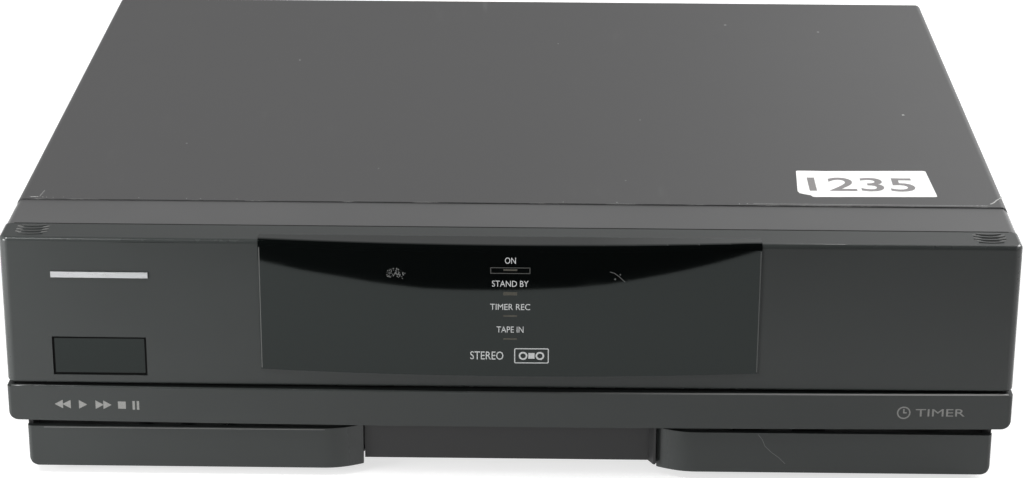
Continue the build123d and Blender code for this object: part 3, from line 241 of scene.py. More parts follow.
# %% Edge wear group
def make_edge_wear():
    """Mask: 1 on worn edges."""
    group, g, given = new_group("edge_wear", {"Radius": 0.0006, "Amount": 0.5, "Patch Scale": 60.0})
    bevel = g.fill(g.add("ShaderNodeBevel", samples=4), Radius=given["Radius"])
    dot = g.add("ShaderNodeVectorMath", operation="DOT_PRODUCT")
    g.feed(dot.inputs[0], bevel.outputs["Normal"])
    g.feed(dot.inputs[1], g.add("ShaderNodeNewGeometry").outputs["Normal"])
    edge = g.ramp(dot.outputs["Value"], 0.995, 0.9)
    kept = g.ramp(g.noise(given["Patch Scale"], 4.0, 0.6), 0.52, 0.62)
    worn = g.times(g.times(edge, kept), given["Amount"], clamp=True)
    g.fill(g.add("NodeGroupOutput"), Mask=worn)
    return group


edge_wear = make_edge_wear()
print("made", edge_wear.name)

# %% [markdown]
# **Moulded grain.** Cabinet plastics are moulded with a fine, even grain, which hardly changes the
# colour but breaks up the gloss. The group gives its height and a slow patchiness for the roughness.


# %% Grain group
def make_grain():
    """Height of a fine grain, and a slow patch value around 0.5."""
    group, g, given = new_group("moulded_grain", {"Scale": 2600.0, "Patch Scale": 18.0},
                                ("Height", "Patches"))
    fine, coarse = g.noise(given["Scale"], 3.0, 0.7), g.noise(700.0, 2.0, 0.5)
    g.fill(g.add("NodeGroupOutput"), Height=g.math("ADD", g.times(fine, 0.7), g.times(coarse, 0.3)),
           Patches=g.noise(given["Patch Scale"], 3.0, 0.55))
    return group


moulded_grain = make_grain()
print("made", moulded_grain.name)

# %% [markdown]
# **Dust and specks.** A used recorder carries pale specks. Voronoi cells give points at random; only
# the few with a low random colour are kept, and each is a dot of its own size.


# %% Specks group
def make_specks():
    """Mask: 1 on small scattered specks, with a finer dust under them."""
    group, g, given = new_group("dust_specks", {"Density": 0.06, "Size": 0.0005, "Cells": 90.0})
    cells = g.add("ShaderNodeTexVoronoi", feature="F1")
    g.fill(cells, Vector=g.place(), Scale=given["Cells"])
    by_chance = g.fill(g.add("ShaderNodeSeparateColor"), Color=cells.outputs["Color"]).outputs
    kept = g.math("LESS_THAN", by_chance[0], given["Density"])
    reach = g.times(g.times(given["Size"], given["Cells"]), g.math("ADD", by_chance[1], 0.3))
    near = g.math("LESS_THAN", cells.outputs["Distance"], reach)
    strength = g.times(g.times(kept, near), g.math("ADD", by_chance[2], 0.2), clamp=True)
    g.fill(g.add("NodeGroupOutput"), Mask=strength)
    return group


dust_specks = make_specks()
print("made", dust_specks.name)

# %% [markdown]
# ** Handled edges, with a painted sheen.** Where a moulded edge is rounded, its normal leans between two axes of the object.
# That is the part that hands and cloths polish, so the mask is high there and 0 on the flat faces.
# Moulded plastic lowers its roughness there and also makes its colour paler, which is a painted sheen.


# %% Rounded edges group
def make_rounded_edges():
    """Mask: 1 on rounded edges, 0 on faces that are square to the object."""
    group, g, given = new_group("rounded_edges", {"Amount": 1.0})
    parts = g.axes(g.place("Normal"))
    sizes = [g.math("ABSOLUTE", parts[axis]) for axis in ("X", "Y", "Z")]
    squareness = g.math("MAXIMUM", g.math("MAXIMUM", sizes[0], sizes[1]), sizes[2])
    rounded = g.ramp(squareness, 0.99, 0.90)
    # moulded plastic makes its colour paler by this mask: a painted sheen on rounded edges
    rubbed = g.times(rounded, g.ramp(g.noise(35.0, 4.0, 0.6), 0.35, 0.60, 0.45, 1.0))
    g.fill(g.add("NodeGroupOutput"), Mask=g.times(rubbed, given["Amount"], clamp=True))
    return group


rounded_edges = make_rounded_edges()
print("made", rounded_edges.name)

# %% [markdown]
# ## Finishes
# Each finish is a Principled shader with its own colour and gloss, fed by the shared effects. Colours
# are linear values, so 0.026 is the anthracite of the door and 0.046 the grey of the painted cover.


# %% A moulded plastic
def new_material(name):
    """A material with an empty graph, its Principled shader and its output."""
    material = bpy.data.materials.new(name)
    material.use_nodes = True
    material.node_tree.nodes.clear()
    g = Graph(material.node_tree)
    shader = g.add("ShaderNodeBsdfPrincipled")
    g.fill(g.add("ShaderNodeOutputMaterial"), Surface=shader.outputs["BSDF"])
    return material, g, shader


DUST = (0.5, 0.5, 0.48, 1.0)
# the second share makes rounded edges paler: a painted sheen
DUST_SHARE, EDGE_SHEEN_SHARE = 0.35, 0.30  # how much of the colour
WORN_GLOSS, HANDLED_GLOSS = 0.12, 0.28  # how much is taken off the roughness


def moulded_plastic(name, color, roughness=0.45, specular=0.5, grain=0.25, wear=0.35, specks=0.05,
                    polish_and_sheen_amount=0.0):
    """Grained cabinet plastic: patchy gloss, polished rounded edges made paler as a painted sheen, a few
    specks of dust.
    """
    material, g, shader = new_material(name)
    texture = g.fill(g.add("ShaderNodeGroup", node_tree=moulded_grain), Scale=2600.0, Patch_Scale=14.0)
    patches = texture.outputs["Patches"]
    worn = g.mask(edge_wear, Radius=0.0005, Amount=wear)
    dust = g.mask(dust_specks, Density=specks, Size=0.0004, Cells=110.0)
    rounded_polish_and_sheen = g.mask(rounded_edges, Amount=polish_and_sheen_amount)
    pale = tuple(min(1.0, c * 2.2 + 0.03) for c in color) + (1.0,)
    base = g.mix(g.ramp(patches, 0.3, 0.7), opaque(color, 0.9), opaque(color, 1.1))
    base = g.mix(worn, base, pale)
    base = g.mix(g.times(dust, DUST_SHARE), base, DUST)
    # painted sheen: rounded edges made paler, standing in for their highlight
    base = g.mix(g.times(rounded_polish_and_sheen, EDGE_SHEEN_SHARE), base, pale)
    rough = g.ramp(patches, 0.25, 0.75, roughness - 0.04, roughness + 0.05)
    rough = g.math("SUBTRACT", rough, g.times(worn, WORN_GLOSS))
    rough = g.math("SUBTRACT", rough, g.times(rounded_polish_and_sheen, HANDLED_GLOSS))
    g.fill(shader, Base_Color=base, Roughness=rough, Specular_IOR_Level=specular)
    g.bump(shader, texture.outputs["Height"], grain, 0.00006)
    return material


print("ready: moulded plastic")

# %% [markdown]
# **Painted steel.** The cover's satin grey paint has a slight orange peel, and is chipped to a pale
# primer at its edges. Its faint rubs are noise, stretched the way that things slide on it.

# %% Painted steel
RUBBED_PAINT, PALE_DUST = (0.45, 0.45, 0.44, 1.0), (0.6, 0.6, 0.58, 1.0)
PRIMER = (0.42, 0.42, 0.41, 1.0)
ALONG_Y = (1.0, 0.12, 1.0)


def painted_steel(name, color, roughness):
    """Stoved paint with orange peel, faint rubs, specks and chipped edges."""
    material, g, shader = new_material(name)
    cloud = g.noise(5.0, 4.0, 0.55)
    streaks = g.ramp(g.noise(160.0, 5.0, 0.65, ALONG_Y), 0.60, 0.74)
    rubbed = g.times(streaks, g.ramp(g.noise(9.0, 2.0, 0.5), 0.52, 0.66))
    worn = g.mask(edge_wear, Radius=0.0007, Amount=0.5)
    dust = g.mask(dust_specks, Density=0.035, Size=0.00045, Cells=60.0)
    base = g.mix(g.ramp(cloud, 0.3, 0.7), opaque(color, 0.94), opaque(color, 1.07))
    base = g.mix(g.times(rubbed, 0.10), base, RUBBED_PAINT)
    base = g.mix(g.times(dust, 0.30), base, PALE_DUST)
    base = g.mix(worn, base, PRIMER)
    rough = g.ramp(cloud, 0.3, 0.7, roughness - 0.03, roughness + 0.04)
    g.fill(shader, Base_Color=base, Roughness=g.math("ADD", rough, g.times(rubbed, 0.10)))
    peel, fine = g.noise(900.0, 2.0, 0.5), g.noise(4200.0, 2.0, 0.6)
    g.bump(shader, g.math("ADD", peel, g.times(fine, 0.4)), 0.18, 0.00008)
    return material


print("ready: painted steel")

# %% [markdown]
# **Smoked acrylic.** The window is nearly black, so what it shows is what it reflects: the pale table
# as a grey, and the dark beyond it as black. Fine wipe marks are in the roughness only.
#
# A mirror shows every unevenness of its mesh. The window is bent to one known arc from end to end, so
# the sideways part of its normal is taken from the arc, and only the rest from the mesh.

# %% Smoked acrylic
ACRYLIC_DUST, ACRYLIC_EDGE = (0.30, 0.30, 0.29, 1.0), (0.10, 0.10, 0.10, 1.0)
SMOKE_TINT = (0.90, 1.0, 0.975, 1.0)  # of what it reflects


def arc_normal(g, radius):
    """The normal of a sheet that is bent to an arc of this radius along X."""
    geometry = g.add("ShaderNodeNewGeometry").outputs
    normal, true_normal = g.axes(geometry["Normal"]), g.axes(geometry["True Normal"])
    sideways = g.math("DIVIDE", g.axes(g.place())["X"], radius)
    at_end = g.math("GREATER_THAN", g.math("ABSOLUTE", true_normal["X"]), 0.7)
    bent = g.fill(g.add("ShaderNodeCombineXYZ"), X=sideways, Y=normal["Y"], Z=normal["Z"])
    unit = g.add("ShaderNodeVectorMath", operation="NORMALIZE")
    g.feed(unit.inputs[0], bent.outputs["Vector"])
    chosen = g.add("ShaderNodeMix", data_type="VECTOR")
    for socket, value in ((0, at_end), (4, unit.outputs["Vector"]), (5, geometry["Normal"])):
        g.feed(chosen.inputs[socket], value)
    return chosen.outputs[1]


def smoked_acrylic(name, color=(0.0022, 0.0028, 0.0027), roughness=0.035, specular=0.35, arc_radius=None):
    """Polished near-black plastic with fine wipe marks and a few dust specks."""
    material, g, shader = new_material(name)
    wipes = g.ramp(g.noise(220.0, 5.0, 0.7, (0.15, 1.0, 1.0)), 0.55, 0.75)
    marks = g.times(wipes, g.ramp(g.noise(12.0, 3.0, 0.5), 0.45, 0.65))
    dust = g.mask(dust_specks, Density=0.05, Size=0.0003, Cells=150.0)
    worn = g.mask(edge_wear, Radius=0.0004, Amount=0.25)
    base = g.mix(worn, g.mix(g.times(dust, 0.16), opaque(color), ACRYLIC_DUST), ACRYLIC_EDGE)
    g.fill(shader, Base_Color=base, Roughness=g.math("ADD", roughness, g.times(marks, 0.05)),
           Specular_IOR_Level=specular, Specular_Tint=SMOKE_TINT)
    if arc_radius:
        g.fill(shader, Normal=arc_normal(g, arc_radius))
    return material


print("ready: smoked acrylic, bent to a radius of", round(WINDOW_RADIUS, 2), "m")

# %% [markdown]
# **Metals.** Zinc-plated steel is a soft, mottled grey; turned aluminium and brass carry fine
# brushing. Both are metallic shaders whose roughness carries the marks.


# %% Metals
def plated_steel(name, color, roughness):
    """Zinc-plated sheet: a mottled spangle and rolling marks."""
    material, g, shader = new_material(name)
    spangle = g.noise(140.0, 4.0, 0.6)
    rolling = g.noise(900.0, 2.0, 0.5, (0.04, 1.0, 1.0))
    marks = g.math("ADD", spangle, g.times(rolling, 0.5))
    g.fill(shader, Base_Color=g.mix(g.ramp(spangle, 0.35, 0.65), opaque(color, 0.86), opaque(color)),
           Roughness=g.ramp(marks, 0.5, 1.0, roughness - 0.06, roughness + 0.10), Metallic=1.0)
    return material


def brushed_metal(name, color, roughness):
    """Metal with fine brushing along X."""
    material, g, shader = new_material(name)
    brush = g.noise(2400.0, 3.0, 0.6, (0.03, 1.0, 1.0))
    marks = g.math("ADD", brush, g.noise(30.0, 2.0, 0.5))
    g.fill(shader, Base_Color=g.mix(g.ramp(brush, 0.3, 0.7), opaque(color, 0.85), opaque(color)),
           Roughness=g.ramp(marks, 0.7, 1.3, roughness - 0.06, roughness + 0.08), Metallic=1.0)
    g.bump(shader, brush, 0.15, 0.00003)
    return material


print("ready: plated steel and brushed metal")

# %% [markdown]
# **Simple finishes.** Rubber, lamps, paper and ink need little: one noise moves both the colour and
# the gloss, so one function makes them all. A circuit board adds tracks under its lacquer.


# %% Rubber, circuit board, lamps, paper and ink
def clouded(name, noise, colors, share=(0.0, 1.0), gloss=(0.4, 0.55), specular=0.5, grain=0.0):
    """One noise mixes two colours by a share, moves the roughness and may lift a grain."""
    material, g, shader = new_material(name)
    cloud = g.noise(*noise)
    g.fill(shader, Base_Color=g.mix(g.ramp(cloud, *share), *colors),
           Roughness=g.ramp(cloud, 0.3, 0.7, *gloss), Specular_IOR_Level=specular)
    if grain:
        g.bump(shader, cloud, grain, 0.00003)
    return material


def dull_rubber(name, color=(0.018, 0.018, 0.018)):
    """Dull black rubber with a bloom of dust; nearly black, it also makes the painted shade behind the
    right-hand flap.
    """
    bloom = (0.4, 0.75, 0.0, 0.35)
    return clouded(name, (60.0, 4.0, 0.6), (opaque(color), (0.09, 0.09, 0.085, 1.0)), bloom, (0.72, 0.9))


def circuit_board_lacquer(name):
    """Green lacquer with paler tracks under it."""
    material, g, shader = new_material(name)
    tracks = g.add("ShaderNodeTexBrick", offset=0.35, squash=1.0)
    g.fill(tracks, Vector=g.place(), Scale=55.0, Mortar_Size=0.03, Color1=(0.012, 0.085, 0.030, 1.0),
           Color2=(0.016, 0.105, 0.038, 1.0), Mortar=(0.045, 0.20, 0.07, 1.0))
    cloud = g.noise(80.0, 3.0, 0.5)
    lacquer = g.mix(g.ramp(cloud, 0.4, 0.6, 0.0, 0.3), tracks.outputs["Color"], (0.010, 0.06, 0.02, 1.0))
    g.fill(shader, Base_Color=lacquer, Roughness=g.ramp(cloud, 0.3, 0.7, 0.28, 0.40))
    return material


def lamp_plastic_red(name):
    """Dark red translucent plastic."""
    reds = ((0.16, 0.008, 0.006, 1.0), (0.24, 0.012, 0.01, 1.0))
    return clouded(name, (400.0, 2.0, 0.5), reds, gloss=(0.18, 0.3))


def label_paper(name, color=(0.97, 0.97, 0.96)):
    """Matt white paper with a faint fibre."""
    return clouded(name, (2500.0, 4.0, 0.7), (opaque(color, 0.97), opaque(color)), gloss=(0.55, 0.7),
                   grain=0.2)


def ink_and_painted_light(name, color, specular=0.5):
    """A flat colour that is slightly thin in places: screen-printed ink, and the bands of painted shade
    and highlight.
    """
    return clouded(name, (1800.0, 3.0, 0.6), (opaque(color, 0.82), opaque(color)), (0.35, 0.6),
                   specular=specular)


def highlight_ramp(name, color, worn, start, end):
    """Plastic painted paler from one place along x to another, in metres: a painted highlight; worn is
    the paler colour.
    """
    material, g, shader = new_material(name)
    highlight_share = g.ramp(g.axes(g.place())["X"], start, end)
    g.fill(shader, Base_Color=g.mix(highlight_share, opaque(color), opaque(worn)), Roughness=0.34)
    return material


print("ready: rubber, board, lamp, paper, ink and a rubbed edge")

# %% Make the finishes, one for each material slot of the record
finishes = {
    "cover_paint": painted_steel("cover_paint", (0.046, 0.046, 0.0465), roughness=0.42),
    "bezel_plastic": moulded_plastic("bezel_plastic", (0.067, 0.0675, 0.068), roughness=0.42, polish_and_sheen_amount=0.7),
    "door_plastic": moulded_plastic("door_plastic", (0.0235, 0.0268, 0.0260), roughness=0.45,
                                    specular=0.48, polish_and_sheen_amount=1.0),
    "smoked_window": smoked_acrylic("smoked_window", arc_radius=WINDOW_RADIUS),
    "ir_plastic": smoked_acrylic("ir_plastic", (0.0045, 0.0058, 0.0055), roughness=0.12, specular=0.30),
    "badge_metal": brushed_metal("badge_metal", (0.72, 0.73, 0.74), roughness=0.3),
    "black_plastic": moulded_plastic("black_plastic", (0.014, 0.014, 0.0145), roughness=0.5, wear=0.2),
    "key_plastic": moulded_plastic("key_plastic", (0.045, 0.046, 0.047), roughness=0.36, grain=0.12),
    "steel": plated_steel("plated_steel", (0.52, 0.52, 0.51), roughness=0.34),
    "aluminium": brushed_metal("turned_aluminium", (0.66, 0.67, 0.68), roughness=0.22),
    "rubber": dull_rubber("dull_rubber"),
    "circuit_board": circuit_board_lacquer("circuit_board_lacquer"),
    "lamp_plastic": lamp_plastic_red("lamp_plastic_red"),
    "reel_plastic": moulded_plastic("reel_plastic", (0.50, 0.49, 0.45), roughness=0.4, wear=0.1,
                                    specks=0.02),
    "brass": brushed_metal("turned_brass", (0.72, 0.52, 0.22), roughness=0.25),
}
slot_of = {row["node"]: row["material_slot"] for row in frame["record"]["subparts"]}
for node_name, node_object in frame["nodes"].items():
    node_object.data.materials.clear()
    node_object.data.materials.append(finishes[slot_of[node_name]])
print("finishes:", len(finishes), "on", len(slot_of), "nodes")

# %% [markdown]
# ## Floor, backdrop and light
# The recorder stands on a white sheet. A white sheet that is bright enough to read as white would
# also flood the object, so the sheet gives off part of its brightness to the camera and to
# reflections only, and takes the rest from the lamps. That part still holds the object's shadow.

# %% White floor
WHITE, BLACK = (1.0, 1.0, 1.0, 1.0), (0.0, 0.0, 0.0, 1.0)
FLOOR_REACH = 6.0
FLOOR_GLOW = 0.66


def seen_directly(g):
    """1 for what the camera sees by itself, in a reflection or through something clear."""
    path = g.add("ShaderNodeLightPath").outputs
    seen = g.math("ADD", path["Is Camera Ray"], path["Is Glossy Ray"], clamp=True)
    return g.math("ADD", seen, path["Is Transmission Ray"], clamp=True)


def make_floor_material():
    """White to the camera and in reflections, plain pale grey to the light that bounces."""
    material, g, shader = new_material("white_sheet")
    fibre = g.mix(g.noise(300.0, 3.0, 0.6), (0.50, 0.50, 0.50, 1.0), (0.52, 0.52, 0.52, 1.0))
    g.fill(shader, Base_Color=fibre, Roughness=0.9, Specular_IOR_Level=0.0, Emission_Color=WHITE,
           Emission_Strength=g.times(seen_directly(g), FLOOR_GLOW))
    return material


def flat_sheet(name, corners, material):
    """A flat stage sheet from its corners, in metres."""
    mesh = bpy.data.meshes.new(name)
    mesh.from_pydata(corners, [], [tuple(range(len(corners)))])
    sheet = in_scene(name, mesh, material)
    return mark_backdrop(sheet) or sheet


def across(half, start, end):
    """The corners of a sheet from one (y, z) to another, with half of its width to each side."""
    (y0, z0), (y1, z1) = start, end
    return [(-half, y0, z0), (half, y0, z0), (half, y1, z1), (-half, y1, z1)]


flat_sheet("floor", across(FLOOR_REACH, (-FLOOR_REACH, 0.0), (FLOOR_REACH, 0.0)), make_floor_material())
print("floor laid")

# %% [markdown]
# The window is a dark mirror. Its lower part shows the white sheet and its upper part the darkness of
# the room beyond the sheet's near edge, and because the window is bowed, that edge shows as a smile.
# So a black drape starts where the sheet ends, runs on over the floor, and rises to hang overhead.
# Behind the recorder stands a grey screen, paler at its right end, which is what the top surfaces
# reflect at their flat angle. Only reflections see the drape and the screen: neither casts a shadow.

# %% Black drape and grey screen
DRAPE_HALF = 2.4
DRAPE_LIFT = 0.002  # over the floor
DRAPE_EDGE = [
    (-DRAPE_HALF, -0.300), (-0.60, -0.300), (-0.30, -0.262), (-0.177, -0.2386), (-0.149, -0.2336),
    (-0.122, -0.2303), (-0.0965, -0.2262), (-0.062, -0.2223), (-0.038, -0.2222), (0.0, -0.2236),
    (0.040, -0.2264), (0.065, -0.2299), (0.091, -0.2358), (0.117, -0.2420), (0.145, -0.2497),
    (0.174, -0.2590), (0.30, -0.300), (0.60, -0.380), (DRAPE_HALF, -0.380)]  # from the door face
DRAPE_PATH = [(-3.3, 0.0), (-3.3, 3.0), (1.2, 3.4)]  # how far back and how high, after the floor
SCREEN_HALF = 4.0
SCREEN_PATH = [(2.6, 0.0), (2.6, 2.6), (1.2, 3.4)]
SCREEN_FADE = (0.15, 0.75)
SCREEN_DARK, SCREEN_PALE = 0.50, 1.0


def hang(names, sheets, material):
    """Stage sheets that only reflections see."""
    for name, corners in zip(names, sheets):
        sheet = flat_sheet(name, corners, material)
        sheet.visible_camera = sheet.visible_diffuse = False
        sheet.visible_shadow = sheet.visible_transmission = False


def along(path, half):
    """The sheets that follow a path of (y, z) places."""
    return [across(half, start, end) for start, end in zip(path, path[1:])]


def make_drape():
    """A black drape from the sheet's near edge, over the floor, up and overhead."""
    blacks = ((0.002, 0.002, 0.002, 1.0), (0.004, 0.004, 0.004, 1.0))
    material = clouded("black_drape", (900.0, 3.0, 0.6), blacks, gloss=(1.0, 1.0), specular=0.0)
    far = DRAPE_PATH[0][0]
    on_floor = [(x, FRONT_Y + y, DRAPE_LIFT) for x, y in DRAPE_EDGE]
    on_floor += [(DRAPE_HALF, far, DRAPE_LIFT), (-DRAPE_HALF, far, DRAPE_LIFT)]
    hang(("drape_floor", "drape_1", "drape_2"), [on_floor] + along(DRAPE_PATH, DRAPE_HALF), material)


def make_screen():
    """A grey screen behind the recorder, paler towards its right end."""
    material, g, shader = new_material("grey_screen")
    shade = g.ramp(g.axes(g.place())["X"], *SCREEN_FADE, SCREEN_DARK, SCREEN_PALE)
    g.fill(shader, Base_Color=BLACK, Specular_IOR_Level=0.0, Emission_Color=WHITE,
           Emission_Strength=shade)
    hang(("grey_screen_1", "grey_screen_2"), along(SCREEN_PATH, SCREEN_HALF), material)


make_drape()
make_screen()

# %% Room light and lamps
ROOM_LIGHT = 0.42


def make_room():
    """White to the camera and to reflections, a softer grey as light."""
    world = bpy.data.worlds.new("room")
    world.use_nodes = True
    world.node_tree.nodes.clear()
    g = Graph(world.node_tree)
    light = g.add("ShaderNodeBackground")
    g.fill(light, Color=WHITE, Strength=g.ramp(seen_directly(g), 0.0, 1.0, ROOM_LIGHT, 1.0))
    g.fill(g.add("ShaderNodeOutputWorld"), Surface=light.outputs["Background"])
    scene.world = world


def soft_box(name, place, aim, size, power):
    """A rectangular studio lamp that looks at a point."""
    data = bpy.data.lights.new(name, "AREA")
    data.shape = "RECTANGLE"
    data.size, data.size_y = size
    data.energy = power
    lamp = in_scene(name, data)
    lamp.location = place
    lamp.rotation_euler = (Vector(aim) - Vector(place)).to_track_quat("-Z", "Y").to_euler()
    lamp.visible_camera = False


make_room()
soft_box("lamp_right", (1.2, 0.75, 1.2), (0.1, 0.0, 0.06), (1.0, 0.8), 26.0)
soft_box("lamp_left", (-0.60, -0.46, 0.15), (-0.2, -0.18, 0.05), (0.25, 0.20), 3.0)
soft_box("lamp_above_left", (-0.57, -0.50, 1.00), (-0.25, -0.15, 0.10), (0.22, 0.30), 6.0)


# %% [markdown]
# ## Thin things on the surfaces
# Printing, paper, chips and the bands of painted shade and highlight are thin, but each is a real piece
# of mesh. Every one is drawn flat, in millimetres, and laid on its surface by a small function that knows
# the surface's shape.

# %% Surfaces to lay things on
STRIP_BOW = 2.6 * MM


def arc_depth(x, chord_half, bow):
    """How far an arc falls back from its middle at x."""
    radius = (chord_half ** 2 + bow ** 2) / (2 * bow)
    return radius - math.sqrt(radius ** 2 - x ** 2)


def on_window(x, z, lift):
    """A place on the window's face; z is measured from the cover's top."""
    return Vector((x, window_low.y + arc_depth(x, WINDOW_HALF, WINDOW_ARC) - lift, COVER_TOP + z))


def on_strip(x, z, lift):
    """A place on the bowed strip under the door."""
    return Vector((x, strip_low.y + arc_depth(x, HALF_WIDTH, STRIP_BOW) - lift, COVER_TOP + z))


def on_cover(x, y, lift):
    """A place on the cover's top; y is behind the door face."""
    return Vector((x, FRONT_Y + y, COVER_TOP + lift))


def on_front_of(node, face_y=None):
    """A node's flat front face, or one at another depth, with places measured from its middle."""
    low, high = corners_of(node)
    face_y = low.y if face_y is None else face_y

    def surface(x, z, lift):
        return Vector(((low.x + high.x) / 2 + x, face_y - lift, (low.z + high.z) / 2 + z))

    return surface


print("window stands", round((FRONT_Y - window_low.y) / MM, 2), "mm forward")

# %% [markdown]
# A flat drawing is a list of polygons. Lines become bands with mitred corners, and lettering comes
# from Blender's own plain typeface.

# %% Flat drawings
SHARPEST = 0.4  # a mitred corner reaches no further than half a width over this


def arc_points(x, y, radius, steps=28, start=0.0, turn=2 * math.pi):
    """Points on a circle, or on an arc when the turn is less than a full one."""
    last = steps if turn >= 2 * math.pi else steps + 1
    return [(x + radius * math.cos(start + turn * i / steps),
             y + radius * math.sin(start + turn * i / steps)) for i in range(last)]


def band(points, width, closed=False):
    """A line of a given width, as quads with mitred corners."""
    points = [Vector(p) for p in points]
    count = len(points)
    pairs = []
    for i, here in enumerate(points):
        ways = [(here - points[i - 1]).normalized()] if closed or i > 0 else []
        if closed or i < count - 1:
            ways.append((points[(i + 1) % count] - here).normalized())
        along = sum(ways, Vector((0.0, 0.0))).normalized()
        side = Vector((-along.y, along.x))
        reach = width / 2 / max(SHARPEST, side.dot(Vector((-ways[0].y, ways[0].x))))
        pairs.append((tuple(here + side * reach), tuple(here - side * reach)))
    spans = list(zip(pairs, pairs[1:] + pairs[:1]))
    return [[here[0], here[1], after[1], after[0]] for here, after in (spans if closed else spans[:-1])]


def box_shape(x0, x1, y0, y1):
    """A flat rectangle."""
    return [(x0, y0), (x1, y0), (x1, y1), (x0, y1)]


def rounded_box(x0, x1, y0, y1, radius, steps=5):
    """The outline of a rectangle with round corners."""
    points = []
    for cx, cy, start in ((x1 - radius, y1 - radius, 0.0), (x0 + radius, y1 - radius, math.pi / 2),
                          (x0 + radius, y0 + radius, math.pi), (x1 - radius, y0 + radius, 1.5 * math.pi)):
        points += arc_points(cx, cy, radius, steps, start, math.pi / 2)
    return points


def moved(shapes, dx, dy=0.0, slant=0.0):
    """The same shapes at another place, leaned over if asked."""
    return [[(x + dx + slant * y, y + dy) for x, y in shape] for shape in shapes]


def lettering(text, height, width=None, weight=0.0):
    """Plain lettering, centred on 0, as flat polygons in millimetres."""
    curve = bpy.data.curves.new("lettering", "FONT")
    curve.body = text
    curve.resolution_u = 4
    curve.offset = weight
    holder = in_scene("lettering", curve)
    bpy.context.view_layer.update()
    mesh = bpy.data.meshes.new_from_object(holder.evaluated_get(bpy.context.evaluated_depsgraph_get()))
    xs, ys = [v.co.x for v in mesh.vertices], [v.co.y for v in mesh.vertices]
    scale_y = height / (max(ys) - min(ys))
    scale_x = scale_y if width is None else width / (max(xs) - min(xs))
    middle_x, middle_y = (max(xs) + min(xs)) / 2, (max(ys) + min(ys)) / 2
    flat = [((x - middle_x) * scale_x, (y - middle_y) * scale_y) for x, y in zip(xs, ys)]
    shapes = [[flat[i] for i in face.vertices] for face in mesh.polygons]
    bpy.data.objects.remove(holder)
    bpy.data.curves.remove(curve)
    bpy.data.meshes.remove(mesh)
    return shapes


print("a nought takes", len(lettering("0", 3.0)), "flat faces")

# %% [markdown]
# **From a drawing to a piece.** The polygons are laid on the surface, pushed out by the thickness of
# the ink or paper, and closed at the sides. The piece reaches a little into its surface, so that no
# gap shows where the surface is made of flat facets.

# %% Lay a drawing on a surface
INK = 0.035


def piece_from(name, bm, *materials):
    """Turns a worked-out mesh into an object with these materials."""
    bmesh.ops.recalc_face_normals(bm, faces=bm.faces)
    mesh = bpy.data.meshes.new(name)
    bm.to_mesh(mesh)
    bm.free()
    return in_scene(name, mesh, *materials)


def thin_piece(name, shapes, surface, material, body, at=(0.0, 0.0), thickness=INK, sink=0.12):
    """Lays flat shapes on a surface as one thin closed piece that rides on a body."""
    bm = bmesh.new()
    made = {}

    def corner(x, y):
        key = (round(x, 3), round(y, 3))
        if key not in made:
            made[key] = bm.verts.new(surface(x * MM, y * MM, -sink * MM))
        return made[key]

    for shape in shapes:
        corners = list(dict.fromkeys(corner(x + at[0], y + at[1]) for x, y in shape))
        if len(corners) > 2 and not bm.faces.get(corners):
            bm.faces.new(corners)
    out = (surface(0.0, 0.0, MM) - surface(0.0, 0.0, 0.0)) * (thickness + sink)
    pushed = bmesh.ops.extrude_face_region(bm, geom=bm.faces[:], use_keep_orig=True)
    outer = [v for v in pushed["geom"] if isinstance(v, bmesh.types.BMVert)]
    bmesh.ops.translate(bm, verts=outer, vec=out)
    piece = piece_from(name, bm, material)
    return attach(piece, body)


print("thin pieces ready, ink", INK, "mm")

# %% [markdown]
# ## Marks on the window
# Four light bars sit behind the window, each under its word. Switched off, a bar shows as a dull
# stripe, the first one in a frame. Below them are a word for the sound and a small cassette.

# %% Inks
white_ink = ink_and_painted_light("white_ink", (0.60, 0.61, 0.61))
grey_ink = ink_and_painted_light("grey_ink", (0.27, 0.27, 0.26))
faint_ink = ink_and_painted_light("faint_ink", (0.070, 0.070, 0.066))
lamp_ink = ink_and_painted_light("lamp_ink", (0.062, 0.058, 0.044))
print("inks:", [ink.name for ink in (white_ink, grey_ink, faint_ink, lamp_ink)])


# %% Words and light bars on the window
def window_mark(name, shapes, at, ink=white_ink):
    """A printed mark on the window, which moves with the door."""
    thin_piece(name, shapes, on_window, ink, "door", at)


MARKS_X = 0.4  # the column of words and bars
WORD_HEIGHT = 2.75
WINDOW_WORDS = [("ON", -6.3, 4.6), ("STAND BY", -16.7, 15.3), ("TIMER REC", -27.2, 16.8),
                ("TAPE IN", -37.5, 11.3)]  # each with its height in the window and its width
for number, (word, z, wide) in enumerate(WINDOW_WORDS):
    window_mark(f"window_word_{number + 1}", lettering(word, WORD_HEIGHT, wide), (MARKS_X, z))
FRAME_HALF, STRIPE_HALF = 8.2, 2.9
bar_frame = band(box_shape(-FRAME_HALF, FRAME_HALF, -1.25, 1.25), 0.32, closed=True)
window_mark("light_bar_frame", bar_frame, (MARKS_X, -10.8), faint_ink)
for number, (z, tall) in enumerate(((-10.5, 0.75), (-21.2, 1.5), (-31.3, 0.7), (-41.8, 0.7))):
    stripe = box_shape(-STRIPE_HALF, STRIPE_HALF, -tall / 2, tall / 2)
    window_mark(f"light_bar_{number + 1}", [stripe], (MARKS_X, z), lamp_ink)
print("window words:", [word for word, _, _ in WINDOW_WORDS])


